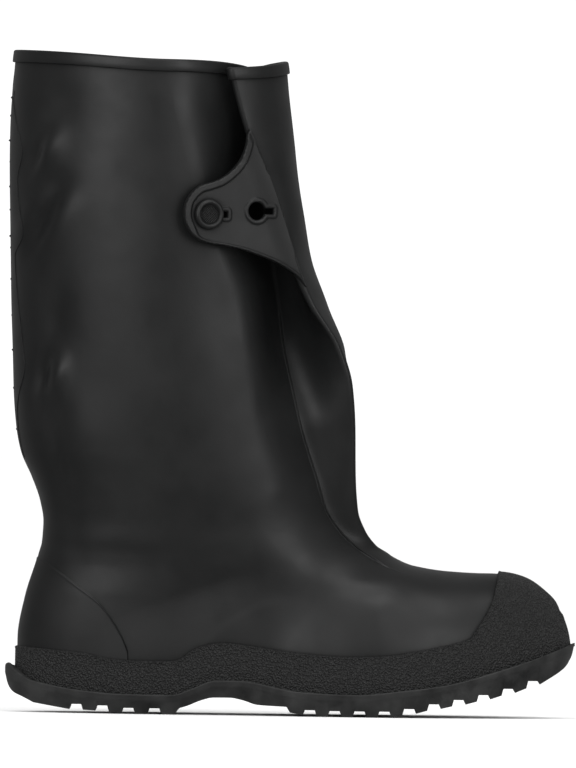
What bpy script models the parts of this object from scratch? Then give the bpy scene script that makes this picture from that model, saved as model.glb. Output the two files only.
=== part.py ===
"""Knee-high rubber overshoe for the right foot, with a bellows fold that buttons over to the outer side.

X runs from heel to toe, +Y to the inner (medial) side and +Z up. The origin is on the floor, under the
middle of the sole. Sizes are millimetres, and MM turns them into metres where a mesh is made.
"""

import math

import bmesh
import bpy
import numpy as np
from mathutils import Matrix, Vector

MM = 0.001

# Driving dimensions
WALL = 1.8                  # rubber wall of the upper
GAP = 0.4                   # between neighbouring pieces
SEAT_GAP = 0.5              # between the sole and what stands on it
HEEL_END = -164.6           # back of the upper at the sole
TOE_END = 167.5             # tip of the upper at the sole
TOE_ROUND_FROM = 75.0       # where the plan starts to round towards the toe
TOE_ROUND = 2.3             # exponent of that rounding
TOE_DROP_FROM = 118.0       # where the toe's top starts to drop
TOE_DROP = 2.4              # exponent of that drop
TOE_SWING = 9.0             # how far the toe tip leans to the medial side
TOE_SWING_SPAN = (30.0, 150.0)
FOOT_ROUND = 2.2            # exponent of the foot's cross sections
FOOT_FADE = (-136.0, -40.0)  # where the foot's body fades out inside the heel
JOIN_BLEND = 12.0           # soft corner where foot and leg meet
CREST_RADIUS = 2.6          # outside of the fold's crest
VALLEY_RADIUS = 2.3         # inside of the fold's valley
ROW_TURN = 14               # how sharply a row turns up to meet the top of the vamp
COLLAR_SAG = 2.8            # how far the collar sinks on both sides
COLLAR_SAG_AT = -85.0       # x of its lowest point
COLLAR_SAG_WIDE = 50.0
COLLAR_DIP = 7.5            # how far it sinks more on the inner side, beside the fold
COLLAR_DIP_AT = -42.0       # x of its lowest point
COLLAR_DIP_WIDE = 22.0
COLLAR_DIP_HEIGHTS = (335.0, 400.0)
COLLAR_DIP_SIDE = (-20.0, 15.0)

RAND_THICK = 1.6            # pebbled strip round the foot
BUMPER_STEP = 0.8           # extra ply on the tip of the toe cap
BUMPER_LINE = (150.0, 56.0, 165.0, 64.5)   # x and z of the bumper's top edge, side and tip
BAND_THICK = 1.0            # raised binding at the collar
BAND_HEIGHT = 7.2
COUNTER_THICK = 0.6         # stiffening ply round the heel
COUNTER_GAP = 0.7

LEDGE = 5.0                 # sole beyond the upper
KICK_LEDGE = 3.0            # extra ledge behind the heel
KICK_SPAN = 40.0            # degrees round the heel over which it fades
KICK_CENTRE = -125.0        # x of the point those degrees are measured from
SOLE_DRAFT = 3.5            # how far the sole's side leans in at the floor
LEDGE_DEEP = 4.0            # height of the ledge's own edge
LEDGE_STEP = 1.2            # step under that edge
LUG_DEEP = 3.3
LUG_LEAN = 1.1              # draft on each side of a groove
HEEL_GROOVES = (-128.7, 15.8, 4)     # first centre, pitch, count
FORE_GROOVES = (12.7, 15.0, 10)
GROOVE_WIDE = 6.0
INSOLE_THICK = 3.0
INSOLE_INSET = 2.5

TAB_THICK = 2.2
TAB_LEAN = 21.0             # degrees the tab faces forward of the side
TAB_RIM_WIDE = 3.6
TAB_RIM_HIGH = 0.7
KEYHOLE_RADIUS = 5.4
KEYHOLE_SLOT = 10.7         # slot's end from the hole's centre
KEYHOLE_SLOT_WIDE = 3.4
STUD_AT = (-52.0, 302.4)    # x and z
SPARE_KEYHOLE_AT = (-24.1, 304.8)
STUD_HEAD = 9.2
STUD_SHIFT = -1.5           # stud from the middle of the hole that it sits in, along the tab
STUD_POST = 3.4

# The leg's level sections, a row for each height
LEG_COLUMNS = ("height", "back", "front", "lateral", "medial", "round_back", "round_front")
LEG = (
    (10, -164.6, 10, 39.0, 38.5, 2.3, 2.2),
    (45, -164.4, 22, 40.0, 39.5, 2.3, 2.2),
    (70, -160.2, 34, 41.0, 40.5, 2.3, 2.2),
    (91, -153.8, 61, 43.0, 42.5, 2.2, 2.1),
    (96, -152.4, 59.5, 43.5, 43.0, 2.2, 2.1),
    (103, -150.6, 50, 44.3, 44.0, 2.2, 2.1),
    (115, -150.0, 39.5, 45.5, 45.2, 2.1, 2.0),
    (128, -152.3, 34.2, 47.0, 46.6, 2.05, 1.98),
    (142, -157.4, 30, 48.5, 48.0, 2.0, 1.95),
    (158, -164.4, 26.8, 49.9, 49.1, 1.97, 1.9),
    (173, -167.4, 24, 51.0, 50.0, 1.95, 1.85),
    (195, -169.4, 21.2, 52.0, 51.0, 1.92, 1.82),
    (224, -170.4, 18, 53.0, 52.0, 1.9, 1.8),
    (275, -172.2, 11, 54.0, 53.0, 1.9, 1.75),
    (306, -173.0, 4.6, 54.5, 53.5, 1.9, 1.75),
    (350, -173.6, -1, 55.0, 54.0, 1.9, 1.75),
    (402, -171.0, -6.5, 55.0, 54.0, 1.9, 1.75),
)

# The foot's cross sections, a row for each station along it
FOOT_COLUMNS = ("along", "top", "lateral", "medial")
FOOT = (
    (-140, 60, 38.0, 38.0),
    (-60, 84, 41.5, 38.5),
    (-20, 95, 47.0, 40.0),
    (20, 101, 54.0, 46.0),
    (50, 101, 57.5, 51.0),
    (61, 96, 58.0, 52.0),
    (75, 91, 57.5, 52.0),
    (95, 88.0, 55.5, 51.5),
    (118, 86.8, 52.0, 49.5),
    (168, 87.4, 47.0, 46.5),
)

# Top of the sole where the upper stands on it
SEAT_COLUMNS = ("along", "height")
SEAT = (
    (-175, 24.5), (-152, 18.2), (-127, 13.8), (-103, 11.9), (-71, 11.6), (-59, 15.6), (-44, 20.9),
    (-32, 20.9), (7, 14.6), (40, 13.3), (68, 16.0), (95, 19.8), (129, 28.6), (151, 34.5), (175, 43.4),
)

# Floor side of the sole without its lugs
TREAD_COLUMNS = ("along", "height")
TREAD = (
    (-155, 8.9), (-133, 5.4), (-112, 4.5), (-98, 3.3), (-69, 3.3), (-63, 4.6), (-53, 8.6), (-46, 10.3),
    (-36, 10.4), (-28, 9.0), (-19, 6.3), (0, 5.3), (18, 3.3), (55, 3.3), (71, 4.9), (87, 8.0), (116, 13.6),
    (144, 21.3), (152, 24.4),
)
HEEL_CURVE = ((-172.4, 32.0), (-172.5, 23.4), (-170.6, 16.1), (-167.5, 11.9), (-161.4, 8.9), (-154.7, 5.6))
TOE_CURVE = ((159.1, 24.9), (163.8, 27.6), (167.9, 30.7), (172.0, 38.4), (172.5, 44.0))
KICK_LIP = ((-167.6, 23.5), (-168.2, 30.0), (-170.0, 33.2))
HEEL_LUGS = (-154.7, -69.2)
FORE_LUGS = (0.8, 155.0)

# Rows of the upper from sole to collar. A row runs from the heel's back to the front line.
ROW_COLUMNS = ("back_height", "front", "front_height", "rise", "arch")
ROWS = (
    (21.9, 167.5, 40.9, 0, 1.0),
    (29, 166.8, 51.9, 0, 0.8),
    (36, 164.6, 60.8, 0, 0.6),
    (43, 160.0, 69.8, 2, 0.4),
    (50, 152.0, 78.0, 6, 0.25),
    (57, 140.0, 84.1, 11, 0.12),
    (64, 122.0, 86.7, 12, 0.05),
    (71, 100.0, 87.6, 11, 0),
    (79, 79.0, 90.2, 10.5, 0),
    (88, 63.0, 95.3, 9.8, 0),
    (98, 51.0, 102.2, 6.5, 0),
    (109, 42.0, 111.6, 3, 0),
    (122, 36.2, 122, 0, 0),
    (137, 31.4, 137, 0, 0),
    (154, 27.2, 154, 0, 0),
    (173, 24.0, 173, 0, 0),
    (192, 21.6, 192, 0, 0),
    (211, 19.4, 211, 0, 0),
    (230, 17.3, 230, 0, 0),
    (248, 15.1, 248, 0, 0),
    (266, 12.5, 266, 0, 0),
    (286, 8.4, 286, 0, 0),
    (308, 4.3, 307.5, 0, 0),
    (331, 1.2, 330, 0, 0),
    (355, -1.6, 353, 0, 0),
    (376, -4.4, 373, 0, 0),
    (394.6, -6.0, 390.2, 0, 0),
    (400.8, -6.5, 396.4, 0, 0),
)
UPPER_LEVELS = (*range(16), 16.2, 17.5, 18.6, 19.6, 20.6, 21.8, 23.4, 25, 26, 27)
FOLD_START = 7.8            # row where the fold begins to rise from the vamp
FOLD_FULL = 10.6            # row where it stands free

# The bellows fold in plan, a row for each height. Headings are degrees from +X towards +Y.
FOLD_COLUMNS = ("height", "leave", "valley_x", "valley_y", "valley_in", "valley_out", "crest_x", "crest_y",
                "crest_in", "crest_out", "crest_reach", "merge", "merge_reach", "dip")
FOLD = (
    (90, 120, 66.0, -13.0, 50, 36, 72.0, -2.0, 45, 138, 6, 157, 8, 0),
    (96, 120, 57.0, -14.5, 50, 34, 61.5, -3.5, 42, 138, 7, 156, 9, 0),
    (103, 120, 42.6, -16.5, 50, 30, 48.8, -6.5, 36, 138, 8, 155, 10, 0),
    (112, 120, 31.2, -18.5, 49, 25, 41.8, -9.5, 30, 138, 9, 153, 11, 0),
    (124, 120, 22.2, -21.0, 48, 20, 37.4, -13.0, 24, 140, 10, 151, 12, 0),
    (142, 120, 16.4, -22.0, 46, 17, 36.2, -16.5, 18, 140, 11, 148, 13, 0),
    (173, 120, 6.4, -22.0, 45, 10, 35.6, -21.0, 4, 136, 12, 146, 14, 0),
    (200, 120, -0.2, -15.5, 47, 0, 33.3, -25.0, -16, 120, 15, 144, 20, 0),
    (224, 119, -5.6, -8.5, 51, -14, 25.9, -27.2, -42, 70, 23, 142, 29, 0),
    (250, 117, -9.4, -3.5, 56, -34, 9.8, -28.4, -84, 60, 28, 140, 36, 0),
    (275, 113, -13.6, -3.0, 58, -46, -0.8, -31.0, -124, 54, 24, 138.5, 33, 0),
    (306, 108, -19.0, -7.0, 57, -50, -9.0, -34.0, -140, 34, 26, 139, 26, 0),
    (350, 102, -26.0, -18.0, 50, -42, -27.5, -41.5, -150, 24, 36, 138, 36, -1),
    (402, 96, -28.0, -26.5, 43, -38, -41.0, -46.0, -156, 18, 42, 136, 41, -4.5),
)

FOLD_FOOT = dict(zip(FOLD_COLUMNS, FOLD[0]))   # the fold's lowest row by column name

# Top edge of the pebbled rand along the foot, and of the toe cap from that corner up
RAND_COLUMNS = ("along", "height")
RAND = (
    (-166, 40.0), (-147, 38.2), (-127, 36.6), (-108, 33.0), (-90, 31.9), (-71, 32.0), (-65, 34.0),
    (-59, 38.6), (-50, 42.3), (-40, 43.4), (-24, 41.8), (-4, 39.0), (16, 36.9), (36, 36.0), (55, 36.6),
    (75, 39.5), (101, 45.0), (109, 47.6),
)
RAND_CORNER = 109.0            # where the rand's edge turns up into the toe cap's
CAP_COLUMNS = ("height", "along")
CAP = ((47.6, 109.0), (54.0, 113.0), (62.0, 118.2), (72.3, 122.6), (86.0, 125.6), (92.0, 126.0))

# Upper edge of the heel counter
COUNTER_COLUMNS = ("along", "height")
COUNTER = ((-160, 99.0), (-148, 91.5), (-128, 77.0), (-115, 66.4), (-106, 54.6), (-100, 43.8), (-96.4, 33.6))
COUNTER_END = -96.4

# Outline of the closure tab in the side view, from its top corner round the stud to its lower corner
TAB_COLUMNS = ("along", "height")
TAB_OUTLINE = (
    (-28.5, 354.0), (-30.5, 350.0), (-31.0, 345.5), (-33.0, 339.0), (-36.0, 333.5), (-40.5, 328.5),
    (-46.0, 324.3), (-52.5, 321.7), (-58.5, 319.7), (-63.4, 315.6), (-66.8, 310.0), (-68.0, 303.5),
    (-67.2, 297.5), (-64.1, 291.2), (-58.8, 286.8), (-52.0, 284.6), (-43.0, 283.3), (-33.0, 281.3),
    (-21.6, 277.6), (-11.0, 273.3), (-0.9, 267.3), (7.2, 259.5),
)
TAB_ROOT = ((-3.0, 287.0), (-10.5, 310.0), (-18.5, 332.0))

# Columns round a row: where they stand along the foot on both sides, and the steps of the fold between them
SIDE_STATIONS = (
    -163.2, -158.5, -150, -138, -122, -104, -86, -73, -66, -60, -53.5, -46, -37, -22, 0, 22, 45, 66,
)
TOE_STATIONS = (86, 104, 116, 128, 142)
TIP_STATIONS = (150, 160)      # two more on the sole and insole
WALL_STEPS, VALLEY_STEPS, PANEL_STEPS, CREST_STEPS, ROLL_STEPS = 6, 2, 4, 4, 6
VALLEY_SPAN = (157.0, 161.0)   # where the fold's columns lie on a row without a fold, in degrees
CREST_SPAN = (173.0, 187.0)
FINE = 4                       # finer rows and columns used to find the surface's direction

BLACK_RUBBER = (0.022, 0.023, 0.024)
GREY_RUBBER = (0.030, 0.031, 0.032)


def column(table, names, name):
    return np.array([row[names.index(name)] for row in table], float)


def smooth(knots, values, at):
    """A curve through the knots that doesn't swing past them."""
    step = np.diff(knots)
    slope = np.diff(values) / step
    product = slope[1:] * slope[:-1]
    mean = np.where(product > 0, 2 * product / (slope[1:] + slope[:-1] + 1e-12), 0.0)
    tangent = np.concatenate([slope[:1], mean, slope[-1:]])
    at = np.clip(np.asarray(at, float), knots[0], knots[-1])
    i = np.clip(np.searchsorted(knots, at, side="right") - 1, 0, len(knots) - 2)
    t = (at - knots[i]) / step[i]
    rise = values[i + 1] - values[i]
    bend = (3 * t**2 - 2 * t**3) * rise
    lean = step[i] * ((t**3 - 2 * t**2 + t) * tangent[i] + (t**3 - t**2) * tangent[i + 1])
    return values[i] + bend + lean


def reader(table, names):
    """A function that reads a column of the table at any value of its first column."""
    knots = column(table, names, names[0])
    stored = {name: column(table, names, name) for name in names}

    def read(name, at):
        return smooth(knots, stored[name], at)

    return read


leg = reader(LEG, LEG_COLUMNS)
foot = reader(FOOT, FOOT_COLUMNS)
fold = reader(FOLD, FOLD_COLUMNS)
seat_of = reader(SEAT, SEAT_COLUMNS)
tread_of = reader(TREAD, TREAD_COLUMNS)
rand_of = reader(RAND, RAND_COLUMNS)
cap_of = reader(CAP, CAP_COLUMNS)
counter_of = reader(COUNTER, COUNTER_COLUMNS)


def ease(low, high, at):
    t = np.clip((np.asarray(at, float) - low) / (high - low), 0.0, 1.0)
    return t * t * (3 - 2 * t)


def rounded(t, exponent):
    """Superellipse: 1 at t = 0, falling to 0 at t = 1."""
    return (1 - np.clip(t, 0.0, 1.0) ** exponent) ** (1 / exponent)


def seat(x):
    return seat_of("height", x)


def centre_line(x):
    """How far the foot's centre lies to the medial side."""
    return TOE_SWING * ease(*TOE_SWING_SPAN, x)


def foot_top(x):
    drop = rounded((x - TOE_DROP_FROM) / (TOE_END - TOE_DROP_FROM), TOE_DROP)
    floor = seat(TOE_END)
    return floor + (foot("top", x) - floor) * drop


def leg_half(x, z, side):
    back, front = leg("back", z), leg("front", z)
    t = (x - (back + front) / 2) / ((front - back) / 2)
    exponent = np.where(t < 0, leg("round_back", z), leg("round_front", z))
    return leg(side, z) * rounded(np.abs(t), exponent)


def foot_half(x, z, side):
    low = seat(x)
    up = (z - low) / np.maximum(foot_top(x) - low, 0.01)
    ends = rounded((x - TOE_ROUND_FROM) / (TOE_END - TOE_ROUND_FROM), TOE_ROUND)
    heel = rounded((FOOT_FADE[1] - x) / (FOOT_FADE[1] - FOOT_FADE[0]), 2.0)
    return foot(side, x) * ends * heel * rounded(up, FOOT_ROUND)


def half_width(x, z, side):
    """Half width of the upper at a point of its side view: foot and leg with a soft corner between them."""
    a, b = leg_half(x, z, side), foot_half(x, z, side)
    most = np.maximum(a, b)
    reach = np.minimum(JOIN_BLEND, most / 2) + 1e-6
    near = np.clip(1 - np.abs(a - b) / reach, 0.0, 1.0)
    return most + near**2 * reach / 4


def row_of(level):
    """Back point, front point, rise and arch of the row at a level, which may lie between two rows."""
    knots = np.arange(len(ROWS), dtype=float)
    return {name: float(smooth(knots, column(ROWS, ROW_COLUMNS, name), level)) for name in ROW_COLUMNS}


def plain_row(level, angles):
    """Points of a row with no fold. The angle runs from 0 at the back by the outer side to 180 in front."""
    row = row_of(level)
    share = (1 - np.cos(np.radians(angles))) / 2
    back = float(leg("back", row["back_height"]))
    x = back + (row["front"] - back) * share
    straight = row["back_height"] + (row["front_height"] - row["rise"] - row["back_height"]) * share
    chord = seat(HEEL_END) + (seat(TOE_END) - seat(HEEL_END)) * (x - HEEL_END) / (TOE_END - HEEL_END)
    z = straight + row["rise"] * share**ROW_TURN + row["arch"] * (seat(x) - chord)
    least = 0.4 * np.abs(np.sin(np.radians(angles)))
    lateral = -np.maximum(half_width(x, z, "lateral"), least)
    medial = np.maximum(half_width(x, z, "medial"), least)
    y = np.where(angles <= 180, lateral, medial) * (np.abs(np.sin(np.radians(angles))) > 1e-6)
    return np.stack([x, centre_line(x) + y, z], 1)


def heading(degrees):
    return np.array([math.cos(math.radians(degrees)), math.sin(math.radians(degrees))])


def arc(middle, radius, start, end, steps, turn):
    """Points of a turn between two headings. turn is 1 to the left and -1 to the right."""
    angles = np.radians(np.linspace(start, end, steps + 1))
    return middle + turn * radius * np.stack([np.sin(angles), -np.cos(angles)], 1)


def bezier(start, start_heading, start_reach, end, end_heading, end_reach, steps):
    t = np.linspace(0, 1, steps + 1)[:, None]
    a = start + start_reach * start_heading
    b = end - end_reach * end_heading
    return (1 - t)**3 * start + 3 * (1 - t)**2 * t * a + 3 * (1 - t) * t**2 * b + t**3 * end


def fold_path(level, steps):
    """Plan of the fold at a level, from where the wall leaves the leg to where the roll meets it again."""
    z = row_of(level)["front_height"]
    at = {name: float(fold(name, z)) for name in FOLD_COLUMNS}
    back_on = 360 - at["merge"]
    ends = plain_row(level, np.array([at["leave"] - 1, at["leave"], back_on, back_on + 1]))[:, :2]
    leave_way = (ends[1] - ends[0]) / np.linalg.norm(ends[1] - ends[0])
    merge_way = (ends[3] - ends[2]) / np.linalg.norm(ends[3] - ends[2])
    valley = np.array([at["valley_x"], at["valley_y"]])
    crest = np.array([at["crest_x"], at["crest_y"]])
    bend = arc(valley, VALLEY_RADIUS, at["valley_in"], at["valley_out"], steps[1], -1)
    tip = arc(crest, CREST_RADIUS, at["crest_in"], at["crest_out"], steps[3], 1)
    wall_reach = np.linalg.norm(bend[0] - ends[1]) / 3
    panel_reach = np.linalg.norm(tip[0] - bend[-1]) / 2.6
    wall = bezier(ends[1], leave_way, wall_reach, bend[0], heading(at["valley_in"]), wall_reach, steps[0])
    panel = bezier(bend[-1], heading(at["valley_out"]), panel_reach, tip[0], heading(at["crest_in"]),
                   panel_reach, steps[2])
    roll = bezier(tip[-1], heading(at["crest_out"]), at["crest_reach"], ends[2], merge_way, at["merge_reach"],
                  steps[4])
    plan = np.concatenate([wall[:-1], bend[:-1], panel[:-1], tip[:-1], roll])
    dip = at["dip"] * np.concatenate([
        ease(0, steps[0], np.arange(steps[0])), np.ones(steps[1] + steps[2] + steps[3]),
        1 - ease(0, steps[4] * 0.7, np.arange(steps[4] + 1)),
    ])
    return plan, dip


def foot_angle(x):
    """Angle of a plain row at a station along the foot."""
    return np.degrees(np.arccos(1 - 2 * (np.asarray(x, float) - HEEL_END) / (TOE_END - HEEL_END)))


def side_parts(stations, end, fine):
    """Columns of one side as parts of the angle at its end, from the back up to that end but without it."""
    angles = np.concatenate([[0.0], foot_angle(stations), [end]]) / end
    count = len(angles) - 1
    return np.interp(np.arange(count * fine) / fine, np.arange(count + 1), angles)


def collar_dip(points):
    """How far the collar sinks, on both sides and beside the fold."""
    x, y, z = points.T
    sag = COLLAR_SAG * np.exp(-((x - COLLAR_SAG_AT) / COLLAR_SAG_WIDE) ** 2)
    dip = COLLAR_DIP * np.exp(-((x - COLLAR_DIP_AT) / COLLAR_DIP_WIDE) ** 2)
    return (sag + dip * ease(*COLLAR_DIP_SIDE, y)) * ease(*COLLAR_DIP_HEIGHTS, z)


def ring(level, fine=1):
    """Outer points of the upper at a level, once round from the back by the outer side."""
    steps = [n * fine for n in (WALL_STEPS, VALLEY_STEPS, PANEL_STEPS, CREST_STEPS, ROLL_STEPS)]
    leave, merge = (float(fold(name, row_of(level)["front_height"])) for name in ("leave", "merge"))
    stops = (leave, *VALLEY_SPAN, *CREST_SPAN, 360 - merge)
    outer_side = leave * side_parts(SIDE_STATIONS, FOLD_FOOT["leave"], fine)
    inner_side = 360 - merge * side_parts(SIDE_STATIONS + TOE_STATIONS, FOLD_FOOT["merge"], fine)[:0:-1]
    between = [np.linspace(stops[i], stops[i + 1], n, endpoint=False) for i, n in enumerate(steps)]
    points = plain_row(level, np.concatenate([outer_side, *between, [360 - merge], inner_side]))
    share = float(ease(FOLD_START, FOLD_FULL, level))
    if share > 0:
        plan, dip = fold_path(level, steps)
        place = slice(len(outer_side), len(outer_side) + len(plan))
        points[place, :2] += share * (plan - points[place, :2])
        points[place, 2] += share * dip
    points[:, 2] -= collar_dip(points)
    return points


def skin(levels, fine=1):
    """Outer grid of the upper, rows by columns."""
    return np.stack([ring(level, fine) for level in levels])


def outward(grid):
    """Unit directions out of a grid that closes on itself along its columns."""
    along = np.roll(grid, -1, 1) - np.roll(grid, 1, 1)
    up = np.gradient(grid, axis=0)
    out = np.cross(along, up)
    return out / np.maximum(np.linalg.norm(out, axis=2, keepdims=True), 1e-9)


def directed_skin(levels, fine=1):
    """Outer grid of the upper at the levels, and its outward directions found on a finer one."""
    levels = np.asarray(levels, float)
    knots = np.arange(len(levels), dtype=float)
    between = np.interp(np.linspace(0, len(levels) - 1, (len(levels) - 1) * FINE + 1), knots, levels)
    grid = skin(between, FINE)
    step = FINE // fine
    return grid[::FINE, ::step], outward(grid)[::FINE, ::step]


def material(name, colour, roughness):
    made = bpy.data.materials.new(name)
    made.use_nodes = True
    shader = made.node_tree.nodes["Principled BSDF"]
    shader.inputs["Base Color"].default_value = (*colour, 1.0)
    shader.inputs["Roughness"].default_value = roughness
    shader.inputs["Metallic"].default_value = 0.0
    made.diffuse_color = (*colour, 1.0)
    return made


def place(name, points, faces, finish):
    """A named object on the boot's own empty, from points in millimetres."""
    mesh = bpy.data.meshes.new(name)
    mesh.from_pydata([tuple(float(v) * MM for v in p) for p in points], [], faces)
    shaped = bmesh.new()
    shaped.from_mesh(mesh)
    bmesh.ops.remove_doubles(shaped, verts=shaped.verts, dist=1e-6)
    bmesh.ops.recalc_face_normals(shaped, faces=shaped.faces)
    shaped.to_mesh(mesh)
    shaped.free()
    mesh.shade_smooth()
    mesh.set_sharp_from_angle(angle=math.radians(40))
    made = bpy.data.objects.new(name, mesh)
    made.data.materials.append(finish)
    made.parent = boot
    bpy.context.scene.collection.objects.link(made)
    return made


def shell(inner, outer, closed):
    """Points and faces of a wall between two grids, closed round its columns or with two free ends."""
    rows, columns = inner.shape[:2]
    points = np.concatenate([outer.reshape(-1, 3), inner.reshape(-1, 3)])
    base = rows * columns
    spans = columns if closed else columns - 1
    faces = []
    for i in range(rows - 1):
        for j in range(spans):
            a, b = i * columns + j, i * columns + (j + 1) % columns
            c, d = b + columns, a + columns
            faces.append((a, b, c, d))
            faces.append((base + d, base + c, base + b, base + a))
    for j in range(spans):
        a, b = j, (j + 1) % columns
        faces.append((b, a, base + a, base + b))
        top = (rows - 1) * columns
        faces.append((top + a, top + b, base + top + b, base + top + a))
    if not closed:
        for i in range(rows - 1):
            a, b = i * columns, (i + 1) * columns
            faces.append((a, b, base + b, base + a))
            a, b = a + columns - 1, b + columns - 1
            faces.append((b, a, base + a, base + b))
    return points, faces


def on_seat(grid):
    """The same grid with its first row standing just above the sole."""
    grid = grid.copy()
    grid[0, :, 2] = seat(grid[0, :, 0]) + SEAT_GAP
    return grid


def build_upper():
    grid, out = directed_skin(UPPER_LEVELS)
    points, faces = shell(on_seat(grid - WALL * out), on_seat(grid), True)
    return place("upper", points, faces, rubber)


def build_collar_band():
    top = len(ROWS) - 1
    grid, out = directed_skin((top - 1.0, top))
    points, faces = shell(grid + GAP * out, grid + (GAP + BAND_THICK) * out, True)
    return place("collar_band", points, faces, rubber)


def inside_rand(points):
    """Positive where a point of the upper lies under the rand or the toe cap."""
    x, z = points[..., 0], points[..., 2]
    strip = rand_of("height", np.minimum(x, RAND_CORNER)) - z
    cap = x - cap_of("along", z)
    return np.maximum(strip, cap)


def inside_counter(points):
    x, z = points[..., 0], points[..., 2]
    return np.where(x < COUNTER_END, counter_of("height", x) - z, -1.0)


def leaving_level(column_points, levels, inside):
    """Level at which a column of points leaves a region for good, or None if it never enters it."""
    value = inside(column_points)
    within = np.nonzero(value > 0)[0]
    if len(within) == 0:
        return None
    i = within[-1]
    if i + 1 == len(levels):
        return levels[-1]
    return levels[i] + (levels[i + 1] - levels[i]) * value[i] / (value[i] - value[i + 1])


def columns_between(low, high, fine=1):
    """Points on the upper's own facets and outward directions, each column running between its two levels."""
    span = np.array(UPPER_LEVELS, float)
    coarse, out = directed_skin(span, fine)
    rows = span[(span > min(low)) & (span < max(high))]
    points, ways = [], []
    for j, (a, b) in enumerate(zip(low, high)):
        levels = np.concatenate([[a], np.clip(rows, a, b), [b]])
        points.append(np.stack([np.interp(levels, span, coarse[:, j, k]) for k in range(3)], 1))
        way = np.stack([np.interp(levels, span, out[:, j, k]) for k in range(3)], 1)
        ways.append(way / np.linalg.norm(way, axis=1, keepdims=True))
    return np.stack(points, 1), np.stack(ways, 1)


def region_tops(inside, fine=1):
    """Level at which each column leaves a region."""
    levels = np.linspace(0, 12, 12 * 12 + 1)
    grid = skin(levels, fine)
    return [leaving_level(grid[:, j], levels, inside) for j in range(grid.shape[1])]


def bumper(points):
    """Extra thickness of the rand on the tip of the toe."""
    side_x, side_z, tip_x, tip_z = BUMPER_LINE
    edge = side_z + (tip_z - side_z) * (points[..., 0] - side_x) / (tip_x - side_x)
    return BUMPER_STEP * ease(0, 1.2, edge - points[..., 2]) * ease(side_x - 12, side_x, points[..., 0])


def build_rand():
    tops = region_tops(inside_rand)
    grid, out = columns_between([0.0] * len(tops), tops)
    thick = RAND_THICK + bumper(grid)[..., None]
    points, faces = shell(on_seat(grid + GAP * out), on_seat(grid + (GAP + thick) * out), True)
    return place("rand", points, faces, grained)


def build_heel_counter():
    counter_tops, rand_tops = region_tops(inside_counter, 2), region_tops(inside_rand, 2)
    clear = 0.06
    kept = [j for j, top in enumerate(counter_tops) if top is not None and top > rand_tops[j] + 3 * clear]
    kept.sort(key=lambda j: j if j < len(counter_tops) / 2 else j - len(counter_tops))
    middle = rand_tops[0]
    low = [rand_tops[j] + clear if j in kept else middle for j in range(len(counter_tops))]
    high = [counter_tops[j] if j in kept else middle for j in range(len(counter_tops))]
    grid, out = columns_between(low, high, 2)
    grid, out = grid[:, kept], out[:, kept]
    points, faces = shell(grid + COUNTER_GAP * out, grid + (COUNTER_GAP + COUNTER_THICK) * out, False)
    return place("heel_counter", points, faces, rubber)


def sole_outline(inset):
    """Plan of the sole as a closed row of points, this far outside (or, with a minus, inside) the upper."""
    row = ring(0.0)[:, :2]
    tangent = np.roll(row, -1, 0) - np.roll(row, 1, 0)
    normal = np.stack([tangent[:, 1], -tangent[:, 0]], 1)
    normal /= np.linalg.norm(normal, axis=1, keepdims=True)
    return row, row + normal * np.asarray(inset)[:, None]


def heel_angle(row):
    """Degrees round the heel from straight back."""
    return np.degrees(np.abs(np.arctan2(row[:, 1], KICK_CENTRE - row[:, 0])))


def sole_block():
    """Closed block with the sole's plan, its ledge edge and its leaning side, taller than the sole."""
    row = ring(0.0)
    kick = KICK_LEDGE * (1 - ease(0, KICK_SPAN, heel_angle(row)))
    height = seat(row[:, 0])
    level = np.ones(len(row))
    rings = []
    for beyond, z in (
        (LEDGE, 80.0 * level), (LEDGE, height - LEDGE_DEEP), (LEDGE - LEDGE_STEP, height - LEDGE_DEEP - 1.0),
        (LEDGE - SOLE_DRAFT, np.minimum(height - 10.0, 0.0)), (LEDGE - SOLE_DRAFT, -40.0 * level),
    ):
        rings.append(np.column_stack([sole_outline(beyond + kick)[1], z]))
    count = len(row)
    points = np.concatenate(rings)
    faces = []
    for i in range(len(rings) - 1):
        for j in range(count):
            a, b = i * count + j, i * count + (j + 1) % count
            faces.append((a, b, b + count, a + count))
    faces.append(tuple(range(count)))
    last = (len(rings) - 1) * count
    faces.append(tuple(range(last + count - 1, last - 1, -1)))
    return points, faces


def lug_profile(span, grooves):
    """Points along the floor side of the sole over one patch of lugs."""
    start, end = span
    first, pitch, count = grooves

    def edge(x):
        return float(tread_of("height", x)) - LUG_DEEP

    line = [(start, edge(start))]
    for i in range(count):
        middle = first + i * pitch
        roof = float(tread_of("height", middle))
        half = GROOVE_WIDE / 2
        line += [(middle - half - LUG_LEAN, edge(middle - half)), (middle - half, roof)]
        line += [(middle + half, roof), (middle + half + LUG_LEAN, edge(middle + half))]
    line.append((end, edge(end)))
    return [(x, max(z, 0.0)) for x, z in line]


def sole_profile():
    """Side view of the sole: seat line, toe, lugs, arch, lugs, heel and kick lip."""
    top = [(x, float(seat(x))) for x in (-166.0, *SIDE_STATIONS, *TOE_STATIONS, *TIP_STATIONS, 170.0)]
    arch = [(x, float(tread_of("height", x))) for x in np.linspace(-66.0, -1.5, 14)]
    under = list(HEEL_CURVE) + lug_profile(HEEL_LUGS, HEEL_GROOVES)[1:] + arch
    under += lug_profile(FORE_LUGS, FORE_GROOVES)[:-1] + list(TOE_CURVE)
    return under + top[::-1] + list(KICK_LIP)


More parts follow.
